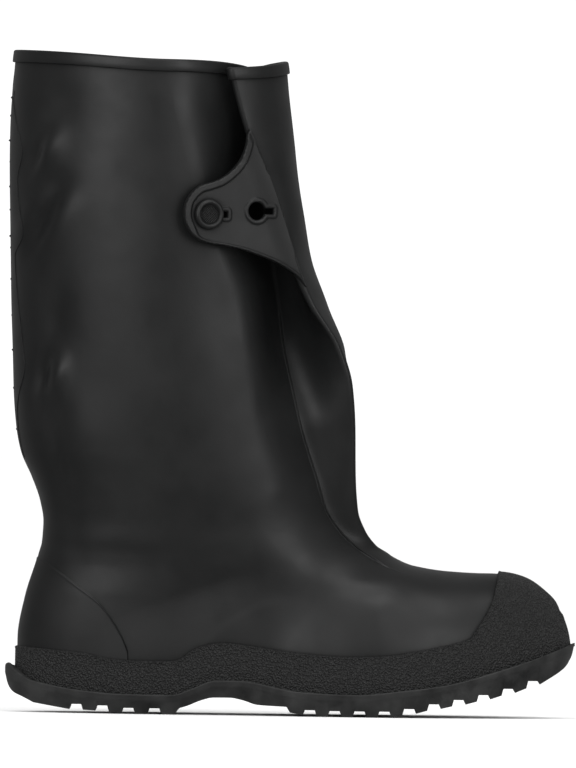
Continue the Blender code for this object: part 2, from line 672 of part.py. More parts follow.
def build_outsole():
    profile = sole_profile()
    count = len(profile)
    reach = 90.0
    points = [(x, side * reach, z) for side in (-1, 1) for x, z in profile]
    faces = [tuple(range(count)), tuple(range(2 * count - 1, count - 1, -1))]
    faces += [(j, (j + 1) % count, (j + 1) % count + count, j + count) for j in range(count)]
    sole = place("outsole", points, faces, grained)
    block = place("sole_block", *sole_block(), grained)
    block.hide_render = True
    block.display_type = "WIRE"
    cut = sole.modifiers.new("plan", "BOOLEAN")
    cut.operation = "INTERSECT"
    cut.solver = "EXACT"
    cut.object = block
    return sole


def build_insole():
    """Loose liner on the sole's seat: level strips from side to side, one for each of the seat's stations."""
    plan = sole_outline(np.full(len(ring(0.0)), -INSOLE_INSET))[1]
    toe, heel = int(np.argmax(plan[:, 0])), int(np.argmin(plan[:, 0]))
    outer_side = plan[heel:toe + 1]
    inner_side = np.concatenate([plan[toe:], plan[:heel + 1]])[::-1]
    ends = (plan[heel, 0] + 0.5, plan[toe, 0] - 0.5)
    stations = [x for x in SIDE_STATIONS + TOE_STATIONS + TIP_STATIONS if ends[0] + 1 < x < ends[1]]
    along = np.array([ends[0], *stations, ends[1]])
    sides = [np.interp(along, side[:, 0], side[:, 1]) for side in (outer_side, inner_side)]
    low = seat(along) + SEAT_GAP
    grid = np.stack([np.column_stack([along, y, z]) for z in (low, low + INSOLE_THICK) for y in sides])
    count = len(along)
    faces = []
    for i in range(count - 1):
        for a, b in ((0, 1), (1, 3), (3, 2), (2, 0)):
            faces.append((a * count + i, b * count + i, b * count + i + 1, a * count + i + 1))
    for i in (0, count - 1):
        faces.append(tuple(side * count + i for side in (0, 1, 3, 2)))
    return place("insole", grid.reshape(-1, 3), faces, rubber)


def tab_frame():
    """Matrix of the tab's plane: its X forward along the tab, its Z out of it, its origin at the stud."""
    lean = math.radians(TAB_LEAN)
    forward = Vector((math.cos(lean), math.sin(lean), 0))
    out = Vector((math.sin(lean), -math.cos(lean), 0))
    heights = np.linspace(TAB_OUTLINE[-1][1], TAB_OUTLINE[0][1], 19)
    crest = fold("crest_x", heights) * out.x + fold("crest_y", heights) * out.y
    touch = out * (float(crest.max()) + CREST_RADIUS + GAP)
    at = touch + forward * ((STUD_AT[0] - touch.x) / forward.x)
    frame = Matrix((forward, Vector((0, 0, 1)), out)).transposed().to_4x4()
    frame.translation = Vector((at.x, at.y, STUD_AT[1])) * MM
    return frame


def on_tab(x, z):
    """A point of the side view in the tab's own plane."""
    return ((x - STUD_AT[0]) / math.cos(math.radians(TAB_LEAN)), z - STUD_AT[1])


def keyhole(middle):
    """Outline of a round hole with a slot that runs forward."""
    half = KEYHOLE_SLOT_WIDE / 2
    start = math.asin(half / KEYHOLE_RADIUS)
    round_part = [(middle[0] + KEYHOLE_RADIUS * math.cos(a), middle[1] + KEYHOLE_RADIUS * math.sin(a))
                  for a in np.linspace(start, 2 * math.pi - start, 17)]
    end = middle[0] + KEYHOLE_SLOT
    return round_part + [(end, middle[1] - half), (end, middle[1] + half)]


def prism(name, outline, low, high, finish):
    count = len(outline)
    points = [(x, y, z) for z in (low, high) for x, y in outline]
    faces = [tuple(range(count - 1, -1, -1)), tuple(range(count, 2 * count))]
    faces += [(j, (j + 1) % count, (j + 1) % count + count, j + count) for j in range(count)]
    return place(name, points, faces, finish)


def cut_by(piece, cutter, frame, operation="DIFFERENCE"):
    cutter.hide_render = True
    cutter.display_type = "WIRE"
    cutter.matrix_local = frame
    cut = piece.modifiers.new(cutter.name, "BOOLEAN")
    cut.operation = operation
    cut.solver = "EXACT"
    cut.object = cutter


def inset_line(line, distance):
    """An open line moved to its left by a distance."""
    line = np.array(line)
    way = np.gradient(line, axis=0)
    way /= np.linalg.norm(way, axis=1, keepdims=True)
    return [tuple(p) for p in line + distance * np.stack([-way[:, 1], way[:, 0]], 1)]


def build_closure_tab():
    frame = tab_frame()
    top = TAB_THICK + TAB_RIM_HIGH
    free_edge = [on_tab(x, z) for x, z in TAB_OUTLINE]
    root = [on_tab(x, z) for x, z in TAB_ROOT]
    tab = prism("closure_tab", free_edge + root, 0.0, top, rubber)
    tab.matrix_local = frame
    beyond = [(x + 20.0, z) for x, z in (free_edge[-1], *root, free_edge[0])]
    field = prism("tab_field", inset_line(free_edge, TAB_RIM_WIDE) + beyond, TAB_THICK, top + 4.0, rubber)
    cut_by(tab, field, frame)
    for name, middle in (("worn_keyhole", STUD_AT), ("spare_keyhole", SPARE_KEYHOLE_AT)):
        hole = prism(name, keyhole(on_tab(*middle)), -4.0, top + 5.0, rubber)
        cut_by(tab, hole, frame)
    return tab


def stud_frame():
    """Matrix of the stud: in the tab's plane, a little behind the middle of its hole."""
    return tab_frame() @ Matrix.Translation((STUD_SHIFT * MM, 0, 0))


def build_stud(post_length):
    """Turned button: foot on the wall, post through the tab, dished head."""
    head = TAB_THICK + TAB_RIM_HIGH
    profile = (
        (0.0, -post_length), (6.4, -post_length), (6.4, -post_length + 0.9), (STUD_POST, -post_length + 1.6),
        (STUD_POST, head), (STUD_HEAD - 0.6, head), (STUD_HEAD, head + 0.8), (STUD_HEAD - 0.4, head + 2.2),
        (STUD_HEAD - 1.4, head + 2.8), (5.6, head + 2.8), (5.2, head + 1.9), (0.0, head + 1.9),
    )
    sides = 24
    points, faces = [], []
    for r, z in profile:
        turn = np.linspace(0, 2 * math.pi, sides, endpoint=False)
        points += [(r * math.cos(a), r * math.sin(a), z) for a in turn]
    for i in range(len(profile) - 1):
        for j in range(sides):
            a, b = i * sides + j, i * sides + (j + 1) % sides
            faces.append((a, b, b + sides, a + sides))
    stud = place("stud", points, faces, rubber)
    stud.matrix_local = stud_frame()
    return stud


def stud_room():
    """Distance from the tab's inner face back to the wall behind the stud."""
    frame = stud_frame()
    at = frame.translation / MM
    out = frame.to_3x3() @ Vector((0, 0, 1))
    rows = skin(np.linspace(20.5, 23, 26), FINE)[:, : (len(SIDE_STATIONS) + 1 + WALL_STEPS) * FINE]
    offsets = rows.reshape(-1, 3) - np.array(at)
    depth = offsets @ np.array(out)
    aside = np.linalg.norm(offsets - np.outer(depth, np.array(out)), axis=1)
    return -float(depth[aside < 6.4].max())


def clear_scene():
    for old in list(bpy.data.objects):
        bpy.data.objects.remove(old)


clear_scene()
boot = bpy.data.objects.new("boot", None)
bpy.context.scene.collection.objects.link(boot)
rubber = material("black_rubber", BLACK_RUBBER, 0.55)
grained = material("grained_rubber", GREY_RUBBER, 0.75)
build_upper()
build_collar_band()
build_rand()
build_heel_counter()
build_outsole()
build_insole()
build_closure_tab()
build_stud(stud_room() - GAP)
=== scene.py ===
"""Visible rubber of a knee-high overshoe for the right foot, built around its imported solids.

Shapes are worked out in millimetres in the boot's own frame: X from heel to toe, +Y to the inner (medial)
side, +Z up from the floor. MM turns them into metres where a mesh is made.
"""

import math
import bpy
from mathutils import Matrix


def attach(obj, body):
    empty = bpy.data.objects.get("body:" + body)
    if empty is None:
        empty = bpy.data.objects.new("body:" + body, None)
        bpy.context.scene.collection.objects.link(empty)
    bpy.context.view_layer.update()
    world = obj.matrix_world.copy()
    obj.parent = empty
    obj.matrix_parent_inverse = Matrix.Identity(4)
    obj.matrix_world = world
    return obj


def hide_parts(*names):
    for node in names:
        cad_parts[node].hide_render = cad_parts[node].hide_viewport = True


bl_info = {
    "name": "Rubber Overshoe",
    "version": (1, 0, 0),
    "blender": (4, 5, 0),
    "location": "View3D > Sidebar > Overshoe",
    "description": "Builds the visible rubber of a knee-high overshoe around its packed solids",
    "category": "Object",
}

import bmesh
import bpy
import numpy as np
from bpy.props import FloatProperty, FloatVectorProperty, PointerProperty
from mathutils import Matrix, Vector
from mathutils.geometry import delaunay_2d_cdt

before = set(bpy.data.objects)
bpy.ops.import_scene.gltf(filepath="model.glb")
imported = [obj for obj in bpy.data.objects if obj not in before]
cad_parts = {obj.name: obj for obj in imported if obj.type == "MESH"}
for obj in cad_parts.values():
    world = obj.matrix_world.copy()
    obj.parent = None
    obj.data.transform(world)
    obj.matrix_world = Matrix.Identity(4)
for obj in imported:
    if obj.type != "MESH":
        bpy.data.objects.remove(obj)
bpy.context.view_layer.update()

MM = 0.001

# Form of the upper, close to the solids' form
GAP = 0.4                   # between neighbouring pieces
HEEL_END = -164.6           # back of the upper at the sole
TOE_END = 167.5             # tip of the upper at the sole
TOE_ROUND_FROM = 75.0       # where the plan starts to round towards the toe
TOE_ROUND = 2.3             # exponent of that rounding
TOE_DROP_FROM = 118.0       # where the toe's top starts to drop
TOE_DROP = 2.4              # exponent of that drop
TOE_SWING = 9.0             # how far the toe tip leans to the medial side
TOE_SWING_SPAN = (30.0, 150.0)
FOOT_ROUND = 2.2            # exponent of the foot's cross sections
FOOT_FADE = (-136.0, -40.0)  # where the foot's body fades out inside the heel
JOIN_BLEND = 20.0           # soft corner where foot and leg meet
CREST_RADIUS = 2.6          # outside of the fold's crest
VALLEY_RADIUS = 2.3         # inside of the fold's valley
ROW_TURN = 14               # how sharply a row turns up to meet the top of the vamp
TOP_SPAN = 14.0             # degrees on each side of the front line where the vamp's top is flat
COLLAR_SAG = 2.8            # how far the collar sinks on both sides
COLLAR_SAG_AT = -85.0       # x of its lowest point
COLLAR_SAG_WIDE = 50.0
COLLAR_DIP = 7.5            # how far it sinks more on the inner side, beside the fold
COLLAR_DIP_AT = -42.0       # x of its lowest point
COLLAR_DIP_WIDE = 22.0
COLLAR_DIP_HEIGHTS = (335.0, 400.0)
COLLAR_DIP_SIDE = (-20.0, 15.0)
COLLAR_SECTION = (          # the binding's section: below the collar's edge, and out of the wall
    (7.2, -0.3), (7.2, 0.9), (7.05, 1.35), (6.6, 1.55), (4.0, 1.5), (1.2, 1.3), (0.5, 1.15), (0.1, 0.9),
    (-0.2, 0.4), (-0.35, -0.4), (-0.35, -1.2), (-0.1, -1.9), (0.4, -2.15), (1.6, -2.15), (2.0, -1.5),
)
FOLD_START = 7.8            # row where the fold begins to rise from the vamp
FOLD_FULL = 10.6            # row where it stands free
WALL_DELAY = 2.4            # how many rows later its wall has sunk in
SOFT_SPOT = (22.0, 100.0, 62.0, 42.0)   # x, z and reach of the wall that is evened out at its foot
SOFT_ROUNDS = 150
VAMP_FROM = 3.6             # row where the front line comes up onto the vamp
VAMP_UNTIL = 9.4            # row where its flat top starts to give way to the fold
VALLEY_SPAN = (157.0, 161.0)   # where the fold's columns lie on a row without a fold, in degrees
CREST_SPAN = (173.0, 187.0)

# The leg's level sections, a row for each height
LEG_COLUMNS = ("height", "back", "front", "lateral", "medial", "round_back", "round_front")
LEG = (
    (10, -164.6, 10, 39.0, 38.5, 2.3, 2.2),
    (45, -164.4, 22, 40.0, 39.5, 2.3, 2.2),
    (70, -160.2, 34, 41.0, 40.5, 2.3, 2.2),
    (91, -153.8, 61, 43.0, 42.5, 2.2, 2.1),
    (96, -152.4, 59.5, 43.5, 43.0, 2.2, 2.1),
    (103, -150.6, 50, 44.3, 44.0, 2.2, 2.1),
    (115, -150.0, 39.5, 45.5, 45.2, 2.1, 2.0),
    (128, -152.3, 34.2, 47.0, 46.6, 2.05, 1.98),
    (142, -157.4, 30, 48.5, 48.0, 2.0, 1.95),
    (158, -164.4, 26.8, 49.9, 49.1, 1.97, 1.9),
    (173, -167.4, 24, 51.0, 50.0, 1.95, 1.85),
    (195, -169.4, 21.2, 52.0, 51.0, 1.92, 1.82),
    (224, -170.4, 18, 53.0, 52.0, 1.9, 1.8),
    (275, -172.2, 11, 54.0, 53.0, 1.9, 1.75),
    (306, -173.0, 4.6, 54.5, 53.5, 1.9, 1.75),
    (350, -173.6, -1, 55.0, 54.0, 1.9, 1.75),
    (402, -171.0, -6.5, 55.0, 54.0, 1.9, 1.75),
)

# The foot's cross sections, a row for each station along it
FOOT_COLUMNS = ("along", "top", "lateral", "medial")
FOOT = (
    (-140, 60, 38.0, 38.0),
    (-60, 84, 41.5, 38.5),
    (-20, 95, 47.0, 40.0),
    (20, 101, 54.0, 46.0),
    (50, 101, 57.5, 51.0),
    (61, 96, 58.0, 52.0),
    (75, 91, 57.5, 52.0),
    (95, 88.0, 55.5, 51.5),
    (118, 86.8, 52.0, 49.5),
    (168, 87.4, 47.0, 46.5),
)

# Top of the sole where the upper stands on it: x and height
SEAT = (
    (-175, 24.5), (-152, 18.2), (-127, 13.8), (-103, 11.9), (-71, 11.6), (-59, 15.6), (-44, 20.9),
    (-32, 20.9), (7, 14.6), (40, 13.3), (68, 16.0), (95, 19.8), (129, 29.4), (151, 36.9), (175, 46.6),
)

# Floor side of the sole without its lugs, and its curved ends: x and height
TREAD = (
    (-155, 8.9), (-133, 5.4), (-112, 4.5), (-98, 3.3), (-69, 3.3), (-63, 4.6), (-53, 8.6), (-46, 10.3),
    (-36, 10.4), (-28, 9.0), (-19, 6.3), (0, 5.3), (18, 3.3), (55, 3.3), (71, 4.9), (87, 8.0), (116, 13.6),
    (144, 21.3), (152, 24.4),
)
HEEL_CURVE = ((-172.5, 23.4), (-170.6, 16.1), (-167.5, 11.9), (-161.4, 8.9), (-154.7, 5.6))
TOE_CURVE = ((159.1, 25.1), (163.8, 28.2), (168.0, 32.0), (171.2, 37.6), (172.5, 43.6))
HEEL_LUGS = (-154.7, -69.2)
FORE_LUGS = (0.8, 155.0)
LUG_DEEP = 3.3
LUG_LEAN = 1.1              # draft on each side of a groove
HEEL_GROOVES = (-128.7, 15.8, 4)     # first centre, pitch, count
FORE_GROOVES = (12.7, 15.0, 10)
GROOVE_WIDE = 6.0
LEDGE = 5.0                 # sole beyond the upper
TOE_LEDGE = 0.7             # a little more round the toe
TOE_LEDGE_FROM = 128.0
KICK_LEDGE = 3.0            # extra ledge behind the heel
KICK_HIGH = 6.2             # lip at the back of that ledge
KICK_ROUND = 3.0            # rounding of that lip's back
KICK_SPAN = 40.0            # degrees round the heel over which it fades
KICK_CENTRE = -125.0        # x of the point those degrees are measured from
SOLE_DRAFT = 3.5            # how far the sole's side leans in at the floor
LEDGE_DEEP = 4.0            # height of the ledge's own edge
LEDGE_STEP = 1.2            # step under that edge

# Rows of the upper from sole to collar. A row runs from the heel's back to the front line.
ROW_COLUMNS = ("back_height", "front", "front_height", "rise", "arch")
ROWS = (
    (21.9, 167.5, 43.5, 0, 1.0),
    (29, 166.0, 51.9, 0, 0.8),
    (36, 163.2, 60.8, 0, 0.6),
    (43, 160.0, 69.8, 2, 0.4),
    (50, 152.0, 78.0, 6, 0.25),
    (57, 140.0, 84.1, 11, 0.12),
    (64, 122.0, 86.7, 12, 0.05),
    (71, 100.0, 87.6, 11, 0),
    (79, 79.0, 90.2, 10.5, 0),
    (88, 63.0, 95.3, 9.8, 0),
    (98, 51.0, 102.2, 6.5, 0),
    (109, 42.0, 111.6, 3, 0),
    (122, 36.2, 122, 0, 0),
    (137, 31.4, 137, 0, 0),
    (154, 27.2, 154, 0, 0),
    (173, 24.0, 173, 0, 0),
    (192, 21.6, 192, 0, 0),
    (211, 19.4, 211, 0, 0),
    (230, 17.3, 230, 0, 0),
    (248, 15.1, 248, 0, 0),
    (266, 12.5, 266, 0, 0),
    (286, 8.4, 286, 0, 0),
    (308, 4.3, 307.5, 0, 0),
    (331, 1.2, 330, 0, 0),
    (355, -1.6, 353, 0, 0),
    (376, -4.4, 373, 0, 0),
    (394.6, -6.0, 390.2, 0, 0),
    (400.8, -6.5, 396.4, 0, 0),
)
TOP_LEVEL = len(ROWS) - 1

# The bellows fold in plan, a row for each height. Headings are degrees from +X towards +Y.
FOLD_COLUMNS = ("height", "leave", "valley_x", "valley_y", "valley_in", "valley_out", "crest_x", "crest_y",
                "crest_in", "crest_out", "crest_reach", "merge", "merge_reach", "dip")
FOLD = (
    (90, 120, 66.0, -13.0, 50, 36, 72.0, -2.0, 45, 138, 6, 157, 8, 0),
    (96, 120, 57.0, -14.5, 50, 34, 61.5, -3.5, 42, 138, 7, 156, 9, 0),
    (103, 120, 42.6, -16.5, 50, 30, 48.8, -6.5, 36, 138, 8, 155, 10, 0),
    (112, 120, 31.2, -18.5, 49, 25, 41.8, -9.5, 30, 138, 9, 153, 11, 0),
    (124, 120, 22.2, -21.0, 48, 20, 37.4, -13.0, 24, 140, 10, 151, 12, 0),
    (142, 120, 16.4, -22.0, 46, 17, 36.2, -16.5, 18, 140, 11, 148, 13, 0),
    (173, 120, 6.4, -22.0, 45, 10, 35.6, -21.0, 4, 136, 12, 146, 14, 0),
    (200, 120, -0.2, -15.5, 47, 0, 33.3, -25.0, -16, 120, 15, 144, 20, 0),
    (224, 119, -5.6, -8.5, 51, -14, 25.9, -27.2, -42, 70, 23, 142, 29, 0),
    (250, 117, -9.4, -3.5, 56, -34, 9.8, -28.4, -84, 60, 28, 140, 36, 0),
    (275, 113, -13.6, -3.0, 58, -46, -0.8, -31.0, -124, 54, 24, 138.5, 33, 0),
    (306, 108, -19.0, -7.0, 57, -50, -9.0, -34.0, -140, 34, 26, 139, 26, 0),
    (350, 102, -26.0, -18.0, 50, -42, -27.5, -41.5, -150, 24, 36, 138, 36, -1),
    (402, 96, -28.0, -26.5, 43, -38, -41.0, -46.0, -156, 18, 42, 136, 41, -4.5),
)

# Top edge of the pebbled rand, x and height, and of the toe cap from its corner up, height and x
RAND = (
    (-166, 40.0), (-147, 38.2), (-127, 36.6), (-108, 33.0), (-90, 31.9), (-71, 32.0), (-65, 34.0),
    (-59, 38.6), (-50, 42.3), (-40, 43.4), (-24, 41.8), (-4, 39.0), (16, 36.9), (36, 36.0), (55, 36.6),
    (75, 39.5), (101, 45.0), (109, 47.6),
)
RAND_CORNER = 109.0
CAP = ((47.6, 109.0), (54.0, 113.0), (62.0, 118.2), (72.3, 122.6), (86.0, 125.6), (92.0, 126.0))
BUMPER_LINE = (150.0, 56.0, 165.0, 64.5)   # x and z of the bumper's top edge, side and tip
BUMPER_STEP = 1.2           # extra ply on the tip of the toe cap

# Upper edge of the heel counter: x and height
COUNTER = ((-160, 99.0), (-148, 91.5), (-128, 77.0), (-115, 66.4), (-106, 54.6), (-100, 43.8), (-96.4, 33.6))
COUNTER_END = -96.4

# Outline of the closure tab in the side view, from its top corner round the stud to its lower corner
TAB_OUTLINE = (
    (-28.5, 354.0), (-30.5, 350.0), (-31.0, 345.5), (-33.0, 339.0), (-36.0, 333.5), (-40.5, 328.5),
    (-46.0, 324.3), (-52.5, 321.7), (-58.5, 319.7), (-63.4, 315.6), (-66.8, 310.0), (-68.0, 303.5),
    (-67.2, 297.5), (-64.1, 291.2), (-58.8, 286.8), (-52.0, 284.6), (-43.0, 283.3), (-33.0, 281.3),
    (-21.6, 277.6), (-11.0, 273.3), (-0.9, 267.3), (7.2, 259.5),
)
TAB_ROOT = ((-3.0, 287.0), (-10.5, 310.0), (-18.5, 332.0))
TAB_LEAN = 21.0             # degrees the tab faces forward of the side
TAB_FACET = 0.55            # spacing of the points inside the tab
KEYHOLE_RADIUS = 5.4
KEYHOLE_SLOT = 10.7         # slot's end from the hole's centre
KEYHOLE_SLOT_WIDE = 3.4
STUD_AT = (-52.0, 302.4)    # x and z
SPARE_KEYHOLE_AT = (-24.1, 304.8)
STUD_FOOT = 6.4             # radius of the stud's foot, stem and sunken disc
STUD_STEM = 3.4
STUD_DISC = 5.4
STUD_SIDES = 96
KNURL = (0.3, 1.5)          # height and spacing of the disc's texture
STUD_SHIFT = -1.5           # stud from the middle of the hole that it sits in, along the tab

# Soft creases of the worn leg: side (-1 outer, 1 inner), x, z, lean, length, width, depth (minus is a trough)
CREASES = (
    (-1, -144, 362, 70, 40, 12, -1.4),
    (-1, -158.5, 337, 67, 24, 4.5, -3.2),
    (-1, -149, 342, 62, 24, 7, 2.8),
    (-1, -149, 321, -8, 26, 7, -1.5),
    (-1, -153, 296, 65, 36, 5, -3.2),
    (-1, -142, 296, 65, 36, 9, 1.9),
    (-1, -164, 294, 70, 34, 6, 1.2),
    (-1, -144, 239, 82, 40, 9, -2.4),
    (-1, -152.5, 203, 80, 26, 4.5, -2.8),
    (-1, -142.5, 204, 80, 24, 6, 2.8),
    (-1, -141, 152, 101, 84, 8, -2.2),
    (-1, -128, 168, 100, 70, 14, 0.9),
    (1, -150, 322, 40, 34, 8, -2.0),
    (1, -138, 330, 45, 30, 9, 1.4),
    (1, -144, 226, 62, 34, 9, -2.1),
    (1, -132, 214, 58, 30, 10, 1.4),
    (1, -132, 131, 62, 34, 11, -2.3),
    (1, -112, 148, 66, 44, 13, 1.2),
    (1, -20, 260, 74, 60, 14, -1.2),
)

# Long low swells of the wall: wavelength up the leg, wavelength round it (in x), phase and height
SWELLS = ((150.0, 95.0, 0.4, 0.22), (83.0, 140.0, 1.9, 0.14), (61.0, 58.0, 4.1, 0.05))

# Stubs of mould flash up the back seam: height and length
FLASH = (
    (372, 0.9), (361, 0.7), (346, 1.1), (333, 0.6), (318, 0.9), (304, 0.7), (288, 1.0), (281, 0.6),
    (262, 0.8), (240, 0.7), (219, 0.9), (196, 0.6), (171, 0.8),
)

# Wavering edge of the back seam's overlap on the outer side: height, and how far in from the back
OVERLAP = (
    (154, 0.6), (181, 1.3), (191, 2.8), (209, 7.1), (225, 5.9), (260, 3.1), (276, 2.6), (289, 7.5),
    (309, 5.2), (322, 4.5), (339, 7.4), (356, 3.6), (370, 1.0),
)
OVERLAP_BEAD = 0.4          # radius of the bead along that edge

# Height and width of the beads on the parting lines, the rand's edge and the heel ply's edge
BACK_BEAD = (0.35, 1.3)
VALLEY_BEAD = (0.85, 0.5)
CREST_BEAD = (0.3, 0.9)
RAND_BEAD = (0.3, 0.55)
PLY_BEAD = (0.2, 0.7)

# Heights over which beads, creases and swells come in, and over which they die out
BACK_BEAD_IN = (40.0, 60.0)
VALLEY_BEAD_IN = (90.0, 98.0)
VALLEY_BEAD_OUT = (236.0, 252.0)
CREST_BEAD_IN = (84.5, 86.0)
CREST_BEAD_OUT = (118.0, 150.0)
BEADS_OUT = (380.0, 390.0)
RELIEF_IN = (55.0, 85.0)
RELIEF_OUT = (372.0, 390.0)

# Resolution of the visible surfaces
SIDE_COLUMNS = 112
WALL_STEPS, VALLEY_STEPS, PANEL_STEPS, CREST_STEPS, ROLL_STEPS = 24, 12, 20, 14, 30
FOLD_STEPS = (WALL_STEPS, VALLEY_STEPS, PANEL_STEPS, CREST_STEPS, ROLL_STEPS)
VALLEY_COLUMN = SIDE_COLUMNS + WALL_STEPS + VALLEY_STEPS // 2
CREST_COLUMN = SIDE_COLUMNS + WALL_STEPS + VALLEY_STEPS + PANEL_STEPS + CREST_STEPS // 2
DENSE_TOP = 12.0            # the foot's rows that the rand and the counter lie on
DENSE_ROWS = 12             # rows to a level there
CURVE_FACET = 0.8           # spacing of the points round the sole's heel and toe

# First level, last level and count of the rows that each shape is read from
UPPER_LEVELS = ((0, 3, 15), (3, 12, 90), (12, TOP_LEVEL, 116))
COLLAR_LEVELS = (TOP_LEVEL - 1.3, TOP_LEVEL, 12)
TAB_LEVELS = (18.5, 26, 90)
STUD_LEVELS = (20.5, 23, 26)
OVERLAP_LEVELS = (14.0, 25.0, 130)

# Distances from the upper edge of the rand and of the heel ply where their rounding has points
RAND_STEPS = (2.6, 2.1, 1.7, 1.3, 0.95, 0.65, 0.4, 0.2, 0.08, 0.0)
PLY_STEPS = (3.6, 3.0, 2.4, 1.9, 1.5, 1.1, 0.75, 0.45, 0.2, 0.0)
BOND_DEEP = 0.3             # how far both reach into the wall
FOOTBED_INSET = 2.5         # the liner's edge from the outside of the wall

# Studio: each light's name, place, width and height in metres, and what the camera frames
LIGHTS = (
    ("left", (-0.8, -1.35, 0.7), 0.6, 0.9),
    ("right", (0.85, -1.35, 0.7), 0.6, 0.9),
    ("top", (0.25, -0.8, 1.9), 1.4, 0.9),
)
LIT_POINT = (0.0, 0.0, 0.2)
VIEW_TARGET = (-0.0032, 0.0, 0.2005)
VIEW_HEIGHT = 0.466
SENSOR = 36.0               # millimetres


class OvershoeSizes(bpy.types.PropertyGroup):
    """Sizes of the visible rubber."""

    wall: FloatProperty(
        name="Wall", description="Rubber wall of the upper", default=1.8 * MM, subtype="DISTANCE",
        unit="LENGTH")
    rand_thick: FloatProperty(
        name="Rand", description="How far the pebbled strip stands out", default=2.0 * MM, subtype="DISTANCE",
        unit="LENGTH")
    counter_thick: FloatProperty(
        name="Heel ply", description="How far the heel's stiffening ply stands out", default=0.8 * MM,
        subtype="DISTANCE", unit="LENGTH")
    tab_thick: FloatProperty(
        name="Tab", description="Thickness of the closure tab", default=2.2 * MM, subtype="DISTANCE",
        unit="LENGTH")
    tab_rim: FloatProperty(
        name="Tab rim", description="Height of the border round the tab and its keyholes", default=0.8 * MM,
        subtype="DISTANCE", unit="LENGTH")
    stud_radius: FloatProperty(
        name="Stud", description="Radius of the stud's head", default=9.2 * MM, subtype="DISTANCE",
        unit="LENGTH")
    insole_thick: FloatProperty(
        name="Insole", description="Thickness of the loose liner", default=3.0 * MM, subtype="DISTANCE",
        unit="LENGTH")
    pebble: FloatProperty(
        name="Pebble", description="Spacing of the rand's pebbled grain", default=1.15 * MM,
        subtype="DISTANCE", unit="LENGTH")
    crease: FloatProperty(
        name="Creases", description="Share of each crease's full depth", default=1.0, min=0.0, max=2.0,
        subtype="FACTOR")


class OvershoeColours(bpy.types.PropertyGroup):
    """Colours of the rubber, as linear light."""

    upper: FloatVectorProperty(
        name="Upper", description="Moulded wall, tab and binding", default=(0.006, 0.0062, 0.0063), size=3,
        subtype="COLOR", min=0.0, max=1.0)
    bloom: FloatVectorProperty(
        name="Bloom", description="Dusty haze on the upper", default=(0.0095, 0.0098, 0.0097), size=3,
        subtype="COLOR", min=0.0, max=1.0)
    rand: FloatVectorProperty(
        name="Rand", description="Pebbled strip and toe cap", default=(0.008, 0.0082, 0.0082), size=3,
        subtype="COLOR", min=0.0, max=1.0)
    sole: FloatVectorProperty(
        name="Sole", description="Moulded sole", default=(0.010, 0.0102, 0.0102), size=3, subtype="COLOR",
        min=0.0, max=1.0)
    # Real dusty haze on the sole; on the rand the same colour is painted light on the pebble tops.
    dust_and_pebble_light: FloatVectorProperty(
        name="Dust", description="Dusty haze on the rand and sole", default=(0.032, 0.0325, 0.032), size=3,
        subtype="COLOR", min=0.0, max=1.0)
    insole: FloatVectorProperty(
        name="Insole", description="Loose liner", default=(0.03, 0.03, 0.03), size=3, subtype="COLOR",
        min=0.0, max=1.0)
    floor: FloatVectorProperty(
        name="Floor", description="Studio floor", default=(0.96, 0.96, 0.96), size=3, subtype="COLOR",
        min=0.0, max=1.0)


class OvershoeStudio(bpy.types.PropertyGroup):
    """Camera and lights."""

    distance: FloatProperty(
        name="Camera distance", description="From the lens to the boot's middle", default=12.0,
        subtype="DISTANCE", unit="LENGTH")
    roll: FloatProperty(
        name="Camera roll", description="Tilt of the frame against the floor", default=math.radians(0.79),
        subtype="ANGLE", unit="ROTATION")
    left_power: FloatProperty(
        name="Left light", description="Power of the light beside the heel", default=6.0, min=0.0,
        subtype="POWER", unit="POWER")
    right_power: FloatProperty(
        name="Right light", description="Power of the light beside the toe", default=5.5, min=0.0,
        subtype="POWER", unit="POWER")
    top_power: FloatProperty(
        name="Top light", description="Power of the light over the front", default=10.0, min=0.0,
        subtype="POWER", unit="POWER")
    fill: FloatProperty(
        name="Fill", description="Even light from all round", default=1.1, min=0.0)
    room: FloatProperty(
        name="Room", description="How bright the dim room looks in the rubber's gloss", default=0.06, min=0.0)
    backdrop: FloatProperty(
        name="Backdrop", description="How bright the sweep behind the boot looks in the rubber's gloss",
        default=0.25, min=0.0)


def column(table, names, name):
    return np.array([row[names.index(name)] for row in table], float)


def smooth(knots, values, at):
    """A curve through the knots that doesn't swing past them."""
    step = np.diff(knots)
    slope = np.diff(values) / step
    product = slope[1:] * slope[:-1]
    mean = np.where(product > 0, 2 * product / (slope[1:] + slope[:-1] + 1e-12), 0.0)
    tangent = np.concatenate([slope[:1], mean, slope[-1:]])
    at = np.clip(np.asarray(at, float), knots[0], knots[-1])
    i = np.clip(np.searchsorted(knots, at, side="right") - 1, 0, len(knots) - 2)
    t = (at - knots[i]) / step[i]
    rise = values[i + 1] - values[i]
    bend = (3 * t**2 - 2 * t**3) * rise
    lean = step[i] * ((t**3 - 2 * t**2 + t) * tangent[i] + (t**3 - t**2) * tangent[i + 1])
    return values[i] + bend + lean


def reader(table, names):
    """A function that reads a named column of the table at any value of its first column."""
    stored = {name: column(table, names, name) for name in names}

    def read(name, at):
        return smooth(stored[names[0]], stored[name], at)

    return read


def curve(table):
    """A function that reads a table's second column at any value of its first."""
    knots, values = np.array(table, float).T

    def read(at):
        return smooth(knots, values, at)

    return read


leg = reader(LEG, LEG_COLUMNS)
foot = reader(FOOT, FOOT_COLUMNS)
fold = reader(FOLD, FOLD_COLUMNS)
seat = curve(SEAT)
tread = curve(TREAD)
rand_edge = curve(RAND)
cap_edge = curve(CAP)
counter_edge = curve(COUNTER)
overlap_inset = curve(OVERLAP)


def size(name):
    """One of the sizes that a user may change, in millimetres."""
    return getattr(bpy.context.scene.overshoe_sizes, name) / MM


def ease(low, high, at):
    t = np.clip((np.asarray(at, float) - low) / (high - low), 0.0, 1.0)
    return t * t * (3 - 2 * t)


